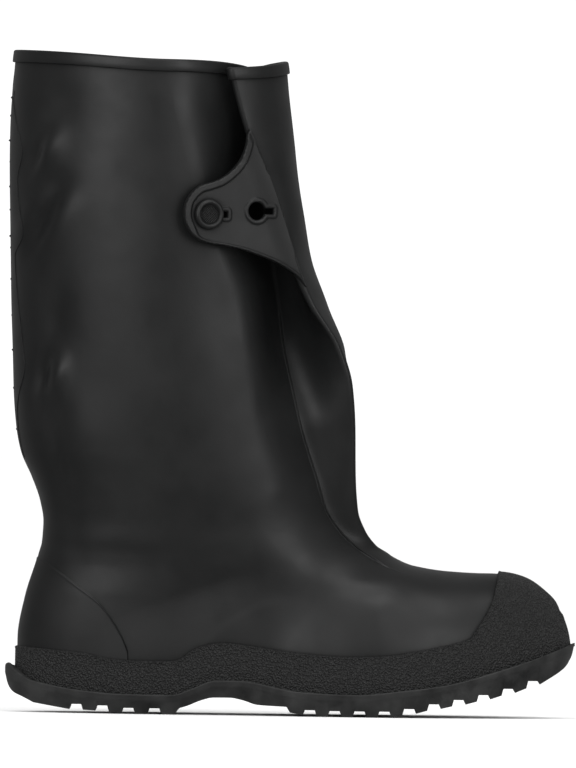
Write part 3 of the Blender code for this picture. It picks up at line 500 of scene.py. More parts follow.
def bell(at, width):
    return np.exp(-(np.asarray(at, float) / width) ** 2)


def rounded(t, exponent):
    """Superellipse: 1 at t = 0, falling to 0 at t = 1."""
    return (1 - np.clip(t, 0.0, 1.0) ** exponent) ** (1 / exponent)


def centre_line(x):
    """How far the foot's centre lies to the medial side."""
    return TOE_SWING * ease(*TOE_SWING_SPAN, x)


def foot_top(x):
    drop = rounded((x - TOE_DROP_FROM) / (TOE_END - TOE_DROP_FROM), TOE_DROP)
    floor = seat(TOE_END)
    return floor + (foot("top", x) - floor) * drop


def leg_half(x, z, side):
    back, front = leg("back", z), leg("front", z)
    t = (x - (back + front) / 2) / ((front - back) / 2)
    exponent = np.where(t < 0, leg("round_back", z), leg("round_front", z))
    return leg(side, z) * rounded(np.abs(t), exponent)


def foot_half(x, z, side):
    low = seat(x)
    up = (z - low) / np.maximum(foot_top(x) - low, 0.01)
    ends = rounded((x - TOE_ROUND_FROM) / (TOE_END - TOE_ROUND_FROM), TOE_ROUND)
    heel = rounded((FOOT_FADE[1] - x) / (FOOT_FADE[1] - FOOT_FADE[0]), 2.0)
    return foot(side, x) * ends * heel * rounded(up, FOOT_ROUND)


def half_width(x, z, side):
    """Half width of the upper at a point of its side view: foot and leg with a soft corner between them."""
    a, b = leg_half(x, z, side), foot_half(x, z, side)
    most = np.maximum(a, b)
    reach = np.minimum(JOIN_BLEND, most / 2) + 1e-6
    near = np.clip(1 - np.abs(a - b) / reach, 0.0, 1.0)
    return most + near**2 * reach / 4


def row_of(level):
    """Back point, front point, rise and arch of the row at a level, which may lie between two rows."""
    knots = np.arange(len(ROWS), dtype=float)
    return {name: float(smooth(knots, column(ROWS, ROW_COLUMNS, name), level)) for name in ROW_COLUMNS}


def plain_row(level, angles):
    """Points of a row with no fold. The angle runs from 0 at the back by the outer side to 180 in front."""
    row = row_of(level)
    share = (1 - np.cos(np.radians(angles))) / 2
    back = float(leg("back", row["back_height"]))
    x = back + (row["front"] - back) * share
    straight = row["back_height"] + (row["front_height"] - row["rise"] - row["back_height"]) * share
    chord = seat(HEEL_END) + (seat(TOE_END) - seat(HEEL_END)) * (x - HEEL_END) / (TOE_END - HEEL_END)
    z = straight + row["rise"] * share**ROW_TURN + row["arch"] * (seat(x) - chord)
    least = 0.4 * np.abs(np.sin(np.radians(angles)))
    lateral = -np.maximum(half_width(x, z, "lateral"), least)
    medial = np.maximum(half_width(x, z, "medial"), least)
    y = np.where(angles <= 180, lateral, medial) * (np.abs(np.sin(np.radians(angles))) > 1e-6)
    return np.stack([x, centre_line(x) + y, z], 1)


def over_the_top(level, angles, points):
    """Spread a row's points evenly across the flat top of the vamp, on the same surface."""
    near = np.abs(angles - 180) < TOP_SPAN
    edges = plain_row(level, np.array([180 - TOP_SPAN, 180 + TOP_SPAN]))
    reach = edges[:, 1] - centre_line(edges[:, 0])
    x = points[near, 0]
    away = (angles[near] - 180) / TOP_SPAN
    aside = np.where(away < 0, -away * reach[0], away * reach[1])
    low = np.full(len(x), edges[:, 2].min() - 4.0)
    high = low + 30.0
    for _ in range(30):
        middle = (low + high) / 2
        wide = np.where(away < 0, half_width(x, middle, "lateral"), half_width(x, middle, "medial"))
        under = wide > np.abs(aside) + 0.01
        low, high = np.where(under, middle, low), np.where(under, high, middle)
    flat = float(ease(VAMP_FROM, VAMP_FROM + 2, level) * (1 - ease(VAMP_UNTIL, FOLD_FULL, level)))
    points[near, 1] += flat * (centre_line(x) + aside - points[near, 1])
    points[near, 2] += flat * (low - points[near, 2])


def heading(degrees):
    return np.array([math.cos(math.radians(degrees)), math.sin(math.radians(degrees))])


def arc(middle, radius, start, end, steps, turn):
    """Points of a turn between two headings. turn is 1 to the left and -1 to the right."""
    angles = np.radians(np.linspace(start, end, steps + 1))
    return middle + turn * radius * np.stack([np.sin(angles), -np.cos(angles)], 1)


def bezier(start, start_heading, start_reach, end, end_heading, end_reach, shares):
    t = shares[:, None]
    a = start + start_reach * start_heading
    b = end - end_reach * end_heading
    return (1 - t)**3 * start + 3 * (1 - t)**2 * t * a + 3 * (1 - t) * t**2 * b + t**3 * end


def fold_path(level):
    """Plan of the fold at a level, from where the wall leaves the leg to where the roll meets it again."""
    z = row_of(level)["front_height"]
    at = {name: float(fold(name, z)) for name in FOLD_COLUMNS}
    back_on = 360 - at["merge"]
    ends = plain_row(level, np.array([at["leave"] - 1, at["leave"], back_on, back_on + 1]))[:, :2]
    leave_way = (ends[1] - ends[0]) / np.linalg.norm(ends[1] - ends[0])
    merge_way = (ends[3] - ends[2]) / np.linalg.norm(ends[3] - ends[2])
    valley = np.array([at["valley_x"], at["valley_y"]])
    crest = np.array([at["crest_x"], at["crest_y"]])
    bend = arc(valley, VALLEY_RADIUS, at["valley_in"], at["valley_out"], VALLEY_STEPS, -1)
    tip = arc(crest, CREST_RADIUS, at["crest_in"], at["crest_out"], CREST_STEPS, 1)
    wall_reach = np.linalg.norm(bend[0] - ends[1]) / 3
    panel_reach = np.linalg.norm(tip[0] - bend[-1]) / 2.6
    wall_shares = 1 - (1 - np.linspace(0, 1, WALL_STEPS + 1)) ** 2
    panel_shares = ease(0, 1, np.linspace(0, 1, PANEL_STEPS + 1))
    roll_shares = np.linspace(0, 1, ROLL_STEPS + 1)
    wall = bezier(ends[1], leave_way, wall_reach, bend[0], heading(at["valley_in"]), wall_reach, wall_shares)
    panel = bezier(bend[-1], heading(at["valley_out"]), panel_reach, tip[0], heading(at["crest_in"]),
                   panel_reach, panel_shares)
    roll = bezier(tip[-1], heading(at["crest_out"]), at["crest_reach"], ends[2], merge_way,
                  at["merge_reach"], roll_shares)
    plan = np.concatenate([wall[:-1], bend[:-1], panel[:-1], tip[:-1], roll])
    dip = at["dip"] * np.concatenate([
        ease(0, WALL_STEPS, np.arange(WALL_STEPS)), np.ones(VALLEY_STEPS + PANEL_STEPS + CREST_STEPS),
        1 - ease(0, ROLL_STEPS * 0.7, np.arange(ROLL_STEPS + 1)),
    ])
    return plan, dip


def collar_dip(points):
    """How far the collar sinks: a little on both sides, more on the inner one beside the fold."""
    x, y, z = points.T
    sag = COLLAR_SAG * bell(x - COLLAR_SAG_AT, COLLAR_SAG_WIDE)
    dip = COLLAR_DIP * bell(x - COLLAR_DIP_AT, COLLAR_DIP_WIDE) * ease(*COLLAR_DIP_SIDE, y)
    return (sag + dip) * ease(*COLLAR_DIP_HEIGHTS, z)


def ring(level):
    """Outer points of the upper at a level, once round from the back by the outer side."""
    leave, merge = (float(fold(name, row_of(level)["front_height"])) for name in ("leave", "merge"))
    stops = (leave, *VALLEY_SPAN, *CREST_SPAN, 360 - merge)
    parts = np.arange(SIDE_COLUMNS) / SIDE_COLUMNS
    between = [np.linspace(stops[i], stops[i + 1], n, endpoint=False) for i, n in enumerate(FOLD_STEPS)]
    angles = np.concatenate([leave * parts, *between, [360 - merge], 360 - merge * parts[:0:-1]])
    points = plain_row(level, angles)
    if VAMP_FROM < level < FOLD_FULL:
        over_the_top(level, angles, points)
    share = float(ease(FOLD_START, FOLD_FULL, level))
    if share > 0:
        plan, dip = fold_path(level)
        folded = slice(SIDE_COLUMNS, SIDE_COLUMNS + len(plan))
        late = float(ease(FOLD_START, FOLD_FULL + WALL_DELAY, level))
        shares = late + (share - late) * ease(0, WALL_STEPS, np.arange(len(plan)))
        points[folded, :2] += shares[:, None] * (plan - points[folded, :2])
        points[folded, 2] += share * dip
    points[:, 2] -= collar_dip(points)
    return points


def rings(levels):
    """Grid of the upper's outer points, a row for each level."""
    return np.stack([ring(level) for level in levels])


def outward(grid):
    """Unit directions out of a grid that closes on itself along its columns."""
    along = np.roll(grid, -1, 1) - np.roll(grid, 1, 1)
    up = np.gradient(grid, axis=0)
    out = np.cross(along, up)
    return out / np.maximum(np.linalg.norm(out, axis=2, keepdims=True), 1e-9)


def upper_levels():
    """Levels of the visible upper's rows, closest on the vamp where the rows spread out."""
    return np.concatenate([
        np.linspace(low, high, count, endpoint=high == TOP_LEVEL) for low, high, count in UPPER_LEVELS
    ])


def softened(grid):
    """The grid with its outer wall evened out at the foot of the fold."""
    middle_x, middle_z, reach_x, reach_z = SOFT_SPOT
    away = np.hypot((grid[..., 0] - middle_x) / reach_x, (grid[..., 2] - middle_z) / reach_z)
    before_valley = 1 - ease(VALLEY_COLUMN - 14, VALLEY_COLUMN - 6, np.arange(grid.shape[1]))
    weight = ((1 - ease(0.4, 1.0, away)) * before_valley * (grid[..., 1] < 0))[..., None]
    for _ in range(SOFT_ROUNDS):
        beside = (np.roll(grid, 1, 1) + np.roll(grid, -1, 1)) / 2
        beyond = grid.copy()
        beyond[1:-1] = (grid[2:] + grid[:-2]) / 2
        grid = grid + weight * ((beside + beyond) / 2 - grid) / 2
    return grid


def creases(grid):
    """Height of the listed creases over the smooth wall, outward positive."""
    x, y, z = grid[..., 0], grid[..., 1], grid[..., 2]
    total = np.zeros(x.shape)
    for side, along, height, lean, length, width, depth in CREASES:
        c, s = math.cos(math.radians(lean)), math.sin(math.radians(lean))
        run = (x - along) * c + (z - height) * s
        across = (z - height) * c - (x - along) * s
        on_side = ease(-4, 10, side * y)
        total += depth * bell(run, length / 2) * bell(across, width) * on_side
    return total


def swells(grid):
    """Slow unevenness of a rubber wall that stands by itself."""
    x, y, z = grid[..., 0], grid[..., 1], grid[..., 2]
    total = np.zeros(x.shape)
    for up, round_it, phase, height in SWELLS:
        rising = np.sin(2 * math.pi * z / up + phase)
        total += height * rising * np.cos(2 * math.pi * (x + y) / round_it + phase)
    return total


def seam_beads(grid):
    """Raised parting lines: up the back, along the fold's valley and crest, and over the vamp."""
    steps = np.linalg.norm(np.diff(grid, axis=1, append=grid[:, :1]), axis=2)
    run = np.concatenate([np.zeros((len(grid), 1)), np.cumsum(steps, axis=1)[:, :-1]], axis=1)
    around = steps.sum(1, keepdims=True)
    front = grid[:, CREST_COLUMN, None, 2]
    back = BACK_BEAD[0] * bell(np.minimum(run, around - run), BACK_BEAD[1])
    back = back * ease(*BACK_BEAD_IN, grid[..., 2])
    valley = VALLEY_BEAD[0] * bell(run - run[:, VALLEY_COLUMN, None], VALLEY_BEAD[1])
    valley = valley * ease(*VALLEY_BEAD_IN, front) * (1 - ease(*VALLEY_BEAD_OUT, front))
    crest = CREST_BEAD[0] * bell(run - run[:, CREST_COLUMN, None], CREST_BEAD[1])
    crest = crest * ease(*CREST_BEAD_IN, front) * (1 - ease(*CREST_BEAD_OUT, front))
    return back + valley + crest


def relief(grid):
    """Everything that lifts or dents the wall, fading out under the rand and at the binding."""
    z = grid[..., 2]
    fade = ease(*RELIEF_IN, z) * (1 - ease(*RELIEF_OUT, z))
    worn = bpy.context.scene.overshoe_sizes.crease * creases(grid) + swells(grid)
    return fade * worn + seam_beads(grid) * (1 - ease(*BEADS_OUT, z))


def material_parts(name, colour, roughness):
    """A new rubber with its shader, its node tree and the object's own coordinates."""
    made = bpy.data.materials.new(name)
    made.use_nodes = True
    tree = made.node_tree
    shader = tree.nodes["Principled BSDF"]
    shader.inputs["Base Color"].default_value = (*colour, 1.0)
    shader.inputs["Roughness"].default_value = roughness
    made.diffuse_color = (*colour, 1.0)
    spot = tree.nodes.new("ShaderNodeTexCoord").outputs["Object"]
    return made, tree, shader, spot


def noise(tree, spot, spacing, detail=3.0, roughness=0.5):
    """Noise whose features are about this many metres apart."""
    node = tree.nodes.new("ShaderNodeTexNoise")
    node.inputs["Scale"].default_value = 1.0 / spacing
    node.inputs["Detail"].default_value = detail
    node.inputs["Roughness"].default_value = roughness
    tree.links.new(spot, node.inputs["Vector"])
    return node.outputs["Fac"]


def remap(tree, value, from_low, from_high, low, high):
    node = tree.nodes.new("ShaderNodeMapRange")
    node.inputs["From Min"].default_value = from_low
    node.inputs["From Max"].default_value = from_high
    node.inputs["To Min"].default_value = low
    node.inputs["To Max"].default_value = high
    tree.links.new(value, node.inputs["Value"])
    return node.outputs["Result"]


def between_colours(tree, share, low, high):
    node = tree.nodes.new("ShaderNodeMix")
    node.data_type = "RGBA"
    node.inputs[6].default_value = (*low, 1.0)
    node.inputs[7].default_value = (*high, 1.0)
    tree.links.new(share, node.inputs[0])
    return node.outputs[2]


def bump(tree, height, distance, strength, below=None):
    node = tree.nodes.new("ShaderNodeBump")
    node.inputs["Strength"].default_value = strength
    node.inputs["Distance"].default_value = distance
    tree.links.new(height, node.inputs["Height"])
    if below is not None:
        tree.links.new(below, node.inputs["Normal"])
    return node.outputs["Normal"]


def hazy(tree, shader, spot, spacing, colour, bloom):
    """Give a rubber clouds of dusty haze this many metres apart."""
    haze = remap(tree, noise(tree, spot, spacing, 4.0, 0.6), 0.35, 0.75, 0.0, 1.0)
    tree.links.new(between_colours(tree, haze, colour, bloom), shader.inputs["Base Color"])


def satin_rubber(name, colour, bloom, roughness):
    """Moulded wall: satin black with a dusty bloom, faint grain, and painted shade that dims its gloss in its
    hollows.
    """
    made, tree, shader, spot = material_parts(name, colour, roughness)
    hazy(tree, shader, spot, 0.055, colour, bloom)
    gloss = remap(tree, noise(tree, spot, 0.02, 3.0), 0.3, 0.7, roughness - 0.05, roughness + 0.06)
    tree.links.new(gloss, shader.inputs["Roughness"])
    skin_grain = bump(tree, noise(tree, spot, 0.0011, 3.0, 0.6), 0.0001, 0.35)
    lumps = bump(tree, noise(tree, spot, 0.012, 2.0), 0.0004, 0.12, skin_grain)
    tree.links.new(lumps, shader.inputs["Normal"])
    # Painted shade: an occlusion mask dims the gloss in the wall's hollows and folds, where shade falls.
    hollows = tree.nodes.new("ShaderNodeAmbientOcclusion")
    hollows.samples = 8
    hollows.inputs["Distance"].default_value = 0.05
    gloss_dimmed_as_shade = remap(tree, hollows.outputs["AO"], 0.5, 0.97, 0.03, 0.5)
    tree.links.new(gloss_dimmed_as_shade, shader.inputs["Specular IOR Level"])
    return made


def pebbled_rubber(name, colour, bloom, spacing):
    """Rand and toe cap: close pebbles with rougher hollows between them; painted shade darkens the hollows
    and painted light brightens the pebble tops.
    """
    made, tree, shader, spot = material_parts(name, colour, 0.55)
    shifted = tree.nodes.new("ShaderNodeVectorMath")
    shifted.operation = "ADD"
    wander = tree.nodes.new("ShaderNodeTexNoise")
    wander.inputs["Scale"].default_value = 1.0 / (2.5 * spacing)
    drift = tree.nodes.new("ShaderNodeVectorMath")
    drift.operation = "SCALE"
    drift.inputs["Scale"].default_value = spacing * 0.8
    tree.links.new(spot, wander.inputs["Vector"])
    tree.links.new(wander.outputs["Color"], drift.inputs[0])
    tree.links.new(spot, shifted.inputs[0])
    tree.links.new(drift.outputs["Vector"], shifted.inputs[1])
    cells = tree.nodes.new("ShaderNodeTexVoronoi")
    cells.feature = "SMOOTH_F1"
    cells.inputs["Scale"].default_value = 1.0 / spacing
    cells.inputs["Smoothness"].default_value = 0.35
    tree.links.new(shifted.outputs["Vector"], cells.inputs["Vector"])
    mound = remap(tree, cells.outputs["Distance"], 0.1, 0.75, 1.0, 0.0)
    # Painted shade and light: the pebble tops take the paler dust colour and the hollows the darker rand
    # colour.
    tree.links.new(between_colours(tree, mound, colour, bloom), shader.inputs["Base Color"])
    tree.links.new(remap(tree, mound, 0.0, 1.0, 0.7, 0.4), shader.inputs["Roughness"])
    tree.links.new(bump(tree, mound, 0.0017, 1.0), shader.inputs["Normal"])
    return made


def moulded_rubber(name, colour, bloom):
    """Sole: dull moulded rubber with fine grit."""
    made, tree, shader, spot = material_parts(name, colour, 0.55)
    hazy(tree, shader, spot, 0.018, colour, bloom)
    gloss = remap(tree, noise(tree, spot, 0.009, 3.0), 0.3, 0.7, 0.48, 0.62)
    tree.links.new(gloss, shader.inputs["Roughness"])
    grit = bump(tree, noise(tree, spot, 0.0012, 4.0, 0.6), 0.00015, 0.4)
    tree.links.new(grit, shader.inputs["Normal"])
    return made


def finish_of(name):
    """The shared rubber of that name, made the first time it is asked for."""
    if name in bpy.data.materials:
        return bpy.data.materials[name]
    colours = bpy.context.scene.overshoe_colours
    sizes = bpy.context.scene.overshoe_sizes
    if name == "satin_upper":
        return satin_rubber(name, colours.upper, colours.bloom, 0.43)
    if name == "pebbled_rand":
        return pebbled_rubber(name, colours.rand, colours.dust_and_pebble_light, sizes.pebble)
    if name == "moulded_sole":
        return moulded_rubber(name, colours.sole, colours.dust_and_pebble_light)
    return moulded_rubber(name, colours.insole, colours.bloom)


def place(name, points, faces, finish, stands_for, slot, sharp=40.0):
    """A finished piece on the boot's body, from points in millimetres. It may stand for a solid."""
    mesh = bpy.data.meshes.new(name)
    mesh.from_pydata((np.asarray(points, float) * MM).tolist(), [], faces)
    shaped = bmesh.new()
    shaped.from_mesh(mesh)
    bmesh.ops.remove_doubles(shaped, verts=shaped.verts, dist=1e-6)
    bmesh.ops.dissolve_degenerate(shaped, edges=shaped.edges, dist=1e-6)
    bmesh.ops.recalc_face_normals(shaped, faces=shaped.faces)
    shaped.to_mesh(mesh)
    shaped.free()
    mesh.shade_smooth()
    mesh.set_sharp_from_angle(angle=math.radians(sharp))
    mesh.materials.append(finish_of(finish))
    made = bpy.data.objects.new(name, mesh)
    bpy.context.scene.collection.objects.link(made)
    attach(made, "root")
    if stands_for:
        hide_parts(stands_for)


def moved(points, matrix):
    """Points taken through a matrix."""
    turn = np.array(matrix)
    return np.asarray(points) @ turn[:3, :3].T + turn[:3, 3]


def grid_faces(rows, columns, closed, start=0, looped=False):
    """Faces of a grid of points. closed joins each row's ends, and looped the last row to the first."""
    faces = []
    for i in range(rows if looped else rows - 1):
        low = start + i * columns
        high = start + (i + 1) % rows * columns
        for j in range(columns if closed else columns - 1):
            after = (j + 1) % columns
            faces.append((low + j, low + after, high + after, high + j))
    return faces


def tube_faces(rows, sides, start=0):
    """Faces of a row of rings, with both ends closed."""
    end = start + rows * sides
    caps = [tuple(range(start + sides - 1, start - 1, -1)), tuple(range(end - sides, end))]
    return grid_faces(rows, sides, True, start) + caps


def lofted(lines):
    """Points and faces of a body whose lines run from end to end, joined round it and at both ends."""
    rows, count = len(lines), len(lines[0])
    faces = grid_faces(rows, count, False, looped=True)
    faces.append(tuple(i * count for i in range(rows)))
    faces.append(tuple(i * count + count - 1 for i in range(rows))[::-1])
    return np.concatenate(lines), faces


def shell_faces(rows, columns, closed):
    """Faces of a wall: an outer grid, then an inner one, with rims between their edges."""
    base = rows * columns
    faces = grid_faces(rows, columns, closed)
    faces += [face[::-1] for face in grid_faces(rows, columns, closed, base)]
    spans = columns if closed else columns - 1
    top = (rows - 1) * columns
    for j in range(spans):
        a, b = j, (j + 1) % columns
        faces.append((b, a, base + a, base + b))
        faces.append((top + a, top + b, base + top + b, base + top + a))
    if not closed:
        for i in range(rows - 1):
            a, b = i * columns, (i + 1) * columns
            faces.append((a, b, base + b, base + a))
            a, b = a + columns - 1, b + columns - 1
            faces.append((b, a, base + a, base + b))
    return faces


def place_ply(name, outer, inner, closed, finish, stands_for, slot):
    """A thin piece bonded to the wall, from the grids of its two sides."""
    points = np.concatenate([outer.reshape(-1, 3), inner.reshape(-1, 3)])
    place(name, points, shell_faces(*outer.shape[:2], closed), finish, stands_for, slot, 60)


def build_upper():
    """The wall, with its inside at half the outside's resolution."""
    grid = softened(rings(upper_levels()))
    out = outward(grid)
    outer = grid + relief(grid)[..., None] * out
    inner = (outer - size("wall") * out)[::2, ::2]
    rows, columns = outer.shape[:2]
    inner_rows, inner_columns = inner.shape[:2]
    base = rows * columns
    faces = grid_faces(rows, columns, True)
    faces += [face[::-1] for face in grid_faces(inner_rows, inner_columns, True, base)]
    top, inner_top = (rows - 1) * columns, base + (inner_rows - 1) * inner_columns
    for j in range(inner_columns):
        a, b, c = 2 * j, 2 * j + 1, (2 * j + 2) % columns
        d, e = j, (j + 1) % inner_columns
        faces.append((c, b, a, base + d, base + e))
        faces.append((top + a, top + b, top + c, inner_top + e, inner_top + d))
    points = np.concatenate([outer.reshape(-1, 3), inner.reshape(-1, 3)])
    place("upper_wall", points, faces, "satin_upper", "upper", "upper_rubber", 60)


def build_collar_binding():
    """Raised binding that wraps over the collar's edge."""
    grid = rings(np.linspace(*COLLAR_LEVELS))
    out = outward(grid)
    run = np.linalg.norm(np.diff(grid, axis=0), axis=2)
    below = np.concatenate([np.cumsum(run[::-1], axis=0)[::-1], np.zeros((1, grid.shape[1]))])
    up = grid[-1] - grid[-2]
    up /= np.linalg.norm(up, axis=1, keepdims=True)
    columns = grid.shape[1]
    points = []
    for down, beyond in COLLAR_SECTION:
        depth, over = max(down, 0.0), max(-down, 0.0)
        for j in range(columns):
            at = np.array([np.interp(-depth, -below[:, j], grid[:, j, k]) for k in range(3)])
            points.append(at + beyond * out[-1, j] + over * up[j])
    faces = grid_faces(len(COLLAR_SECTION), columns, True, looped=True)
    place("collar_binding", points, faces, "satin_upper", "collar_band", "upper_rubber")


def foot_skin():
    """Close rows of the foot, their outward directions and the run up each column."""
    grid = rings(np.linspace(0, DENSE_TOP, int(DENSE_TOP * DENSE_ROWS) + 1))
    steps = np.linalg.norm(np.diff(grid, axis=0), axis=2)
    run = np.concatenate([np.zeros((1, grid.shape[1])), np.cumsum(steps, axis=0)])
    return grid, outward(grid), run


def inside_rand(points):
    """Positive where a point of the upper lies under the rand or the toe cap."""
    x, z = points[..., 0], points[..., 2]
    strip = rand_edge(np.minimum(x, RAND_CORNER)) - z
    cap = x - cap_edge(z)
    return np.maximum(strip, cap)


def inside_counter(points):
    x, z = points[..., 0], points[..., 2]
    return np.where(x < COUNTER_END, counter_edge(x) - z, -1.0)


def region_tops(grid, run, inside):
    """Run up each column to where it leaves a region for good, or nothing where it never enters."""
    value = inside(grid)
    tops = []
    for j in range(grid.shape[1]):
        within = np.nonzero(value[:, j] > 0)[0]
        if len(within) == 0:
            tops.append(None)
            continue
        i = min(within[-1], len(grid) - 2)
        share = value[i, j] / (value[i, j] - value[i + 1, j])
        tops.append(run[i, j] + (run[i + 1, j] - run[i, j]) * min(share, 1.0))
    return tops


def along_columns(grid, out, run, stops):
    """Points and outward directions at the given runs up each column, a row of stops to a column."""
    points = np.empty((stops.shape[1], stops.shape[0], 3))
    ways = np.empty_like(points)
    for j in range(stops.shape[0]):
        for k in range(3):
            points[:, j, k] = np.interp(stops[j], run[:, j], grid[:, j, k])
            ways[:, j, k] = np.interp(stops[j], run[:, j], out[:, j, k])
    return points, ways / np.linalg.norm(ways, axis=2, keepdims=True)


def edge_stops(low, high, edge, count):
    """Runs from low to high with close ones at the upper edge, whose distances from it are given."""
    edge = np.minimum(np.asarray(edge), (high - low) * np.linspace(0.5, 0, len(edge)))
    return np.concatenate([np.linspace(low, high - edge[0], count, endpoint=False), high - edge])


def bumper(points):
    """Extra thickness of the rand on the tip of the toe."""
    side_x, side_z, tip_x, tip_z = BUMPER_LINE
    edge = side_z + (tip_z - side_z) * (points[..., 0] - side_x) / (tip_x - side_x)
    return BUMPER_STEP * ease(0, 0.6, edge - points[..., 2]) * ease(side_x - 12, side_x, points[..., 0])


def build_rand():
    """Pebbled strip with the toe cap in one, rounded along its upper edge."""
    grid, out, run = foot_skin()
    tops = region_tops(grid, run, inside_rand)
    stops = np.stack([edge_stops(0.0, top, RAND_STEPS, 40) for top in tops])
    points, ways = along_columns(grid, out, run, stops)
    from_edge = (np.array(tops)[:, None] - stops).T
    bead = RAND_BEAD[0] * bell(from_edge - 0.95, RAND_BEAD[1])
    edge_round = np.sqrt(1 - (1 - np.clip(from_edge / 0.9, 0, 1)) ** 2)
    height = (size("rand_thick") + bumper(points) + bead) * edge_round
    outer = points + (0.05 + height)[..., None] * ways
    inner = points - BOND_DEEP * ways
    for line in (outer, inner):
        line[0, :, 2] = seat(line[0, :, 0]) - 0.3
    place_ply("pebbled_rand", outer, inner, True, "pebbled_rand", "rand", "pebbled_rubber")


def build_heel_ply():
    """Stiffening ply round the heel, feathered along its upper edge."""
    grid, out, run = foot_skin()
    rand_tops = region_tops(grid, run, inside_rand)
    tops = region_tops(grid, run, inside_counter)
    columns = grid.shape[1]
    kept = [j for j in range(columns) if tops[j] is not None and tops[j] > rand_tops[j] + 0.3]
    kept.sort(key=lambda j: j if j < columns / 2 else j - columns)
    grid, out, run = grid[:, kept], out[:, kept], run[:, kept]
    stops = np.stack([edge_stops(rand_tops[j] - 1.5, tops[j], PLY_STEPS, 24) for j in kept])
    points, ways = along_columns(grid, out, run, stops)
    from_edge = (np.array([tops[j] for j in kept])[:, None] - stops).T
    bead = PLY_BEAD[0] * bell(from_edge - 1.7, PLY_BEAD[1])
    height = size("counter_thick") * ease(0, 2.0, from_edge) + bead
    outer = points + (0.02 + height)[..., None] * ways
    inner = points - BOND_DEEP * ways
    place_ply("heel_ply", outer, inner, False, "satin_upper", "heel_counter", "upper_rubber")


def offset_outline(row, beyond):
    """Plan of the sole as a closed row of points, this far outside the upper's lowest row."""
    tangent = np.roll(row, -1, 0) - np.roll(row, 1, 0)
    normal = np.stack([tangent[:, 1], -tangent[:, 0]], 1)
    normal /= np.linalg.norm(normal, axis=1, keepdims=True)
    return row + normal * np.asarray(beyond)[:, None]


def side_of_outline(outline, stations, outer_side):
    """Y of one side of a closed outline at stations along the foot."""
    toe, heel = int(np.argmax(outline[:, 0])), int(np.argmin(outline[:, 0]))
    rolled = np.roll(outline, -heel, 0)
    toe = (toe - heel) % len(outline)
    half = rolled[:toe + 1] if outer_side else np.concatenate([rolled[toe:], rolled[:1]])[::-1]
    order = np.maximum.accumulate(half[:, 0])
    return np.interp(stations, order, half[:, 1])


def lug_line(span, grooves):
    """Floor side of one patch of lugs: points along the foot and their heights."""
    start, end = span
    first, pitch, count = grooves
    half = GROOVE_WIDE / 2

    def edge(x):
        return max(float(tread(x)) - LUG_DEEP, 0.0)

    line = [(start, edge(start))]
    for i in range(count):
        middle = first + i * pitch
        roof = float(tread(middle))
        line += [(middle - half - LUG_LEAN, edge(middle - half)), (middle - half, roof)]
        line += [(middle + half, roof), (middle + half + LUG_LEAN, edge(middle + half))]
    line.append((end, edge(end)))
    return line


def floor_line():
    """Whole floor side of the sole from heel to toe."""
    arch = [(x, float(tread(x))) for x in np.linspace(-66.0, -1.5, 30)]
    line = list(flowing(HEEL_CURVE, CURVE_FACET)) + lug_line(HEEL_LUGS, HEEL_GROOVES)[1:] + arch
    line += lug_line(FORE_LUGS, FORE_GROOVES)[:-1] + list(flowing(TOE_CURVE, CURVE_FACET))
    line = np.array(line)
    line[:, 0] = np.maximum.accumulate(line[:, 0])
    return line


def sole_stations(line, ends):
    """Stations along the sole: every corner of the floor line, and even ones that close up at both ends."""
    middle, half = (ends[0] + ends[1]) / 2, (ends[1] - ends[0]) / 2
    even = middle - half * np.cos(np.linspace(0.012, math.pi - 0.012, 170))
    stations = np.concatenate([line[:, 0], even])
    stations = np.unique(np.round(stations[(stations > ends[0]) & (stations < ends[1])], 2))
    corners = np.round(line[:, 0], 2)
    keep = [0]
    for i in range(1, len(stations)):
        if stations[i] in corners or stations[i] - stations[keep[-1]] > 0.25 or stations[i] < ends[0] + 1:
            keep.append(i)
    return stations[keep]


def round_heel(x, y):
    """Degrees round the heel from its back."""
    return np.degrees(np.abs(np.arctan2(y, KICK_CENTRE - x)))


def kick_lip(x, y):
    """Extra height of the ledge behind the heel."""
    return KICK_HIGH * (1 - ease(6, KICK_SPAN, round_heel(x, y))) * (x < KICK_CENTRE)


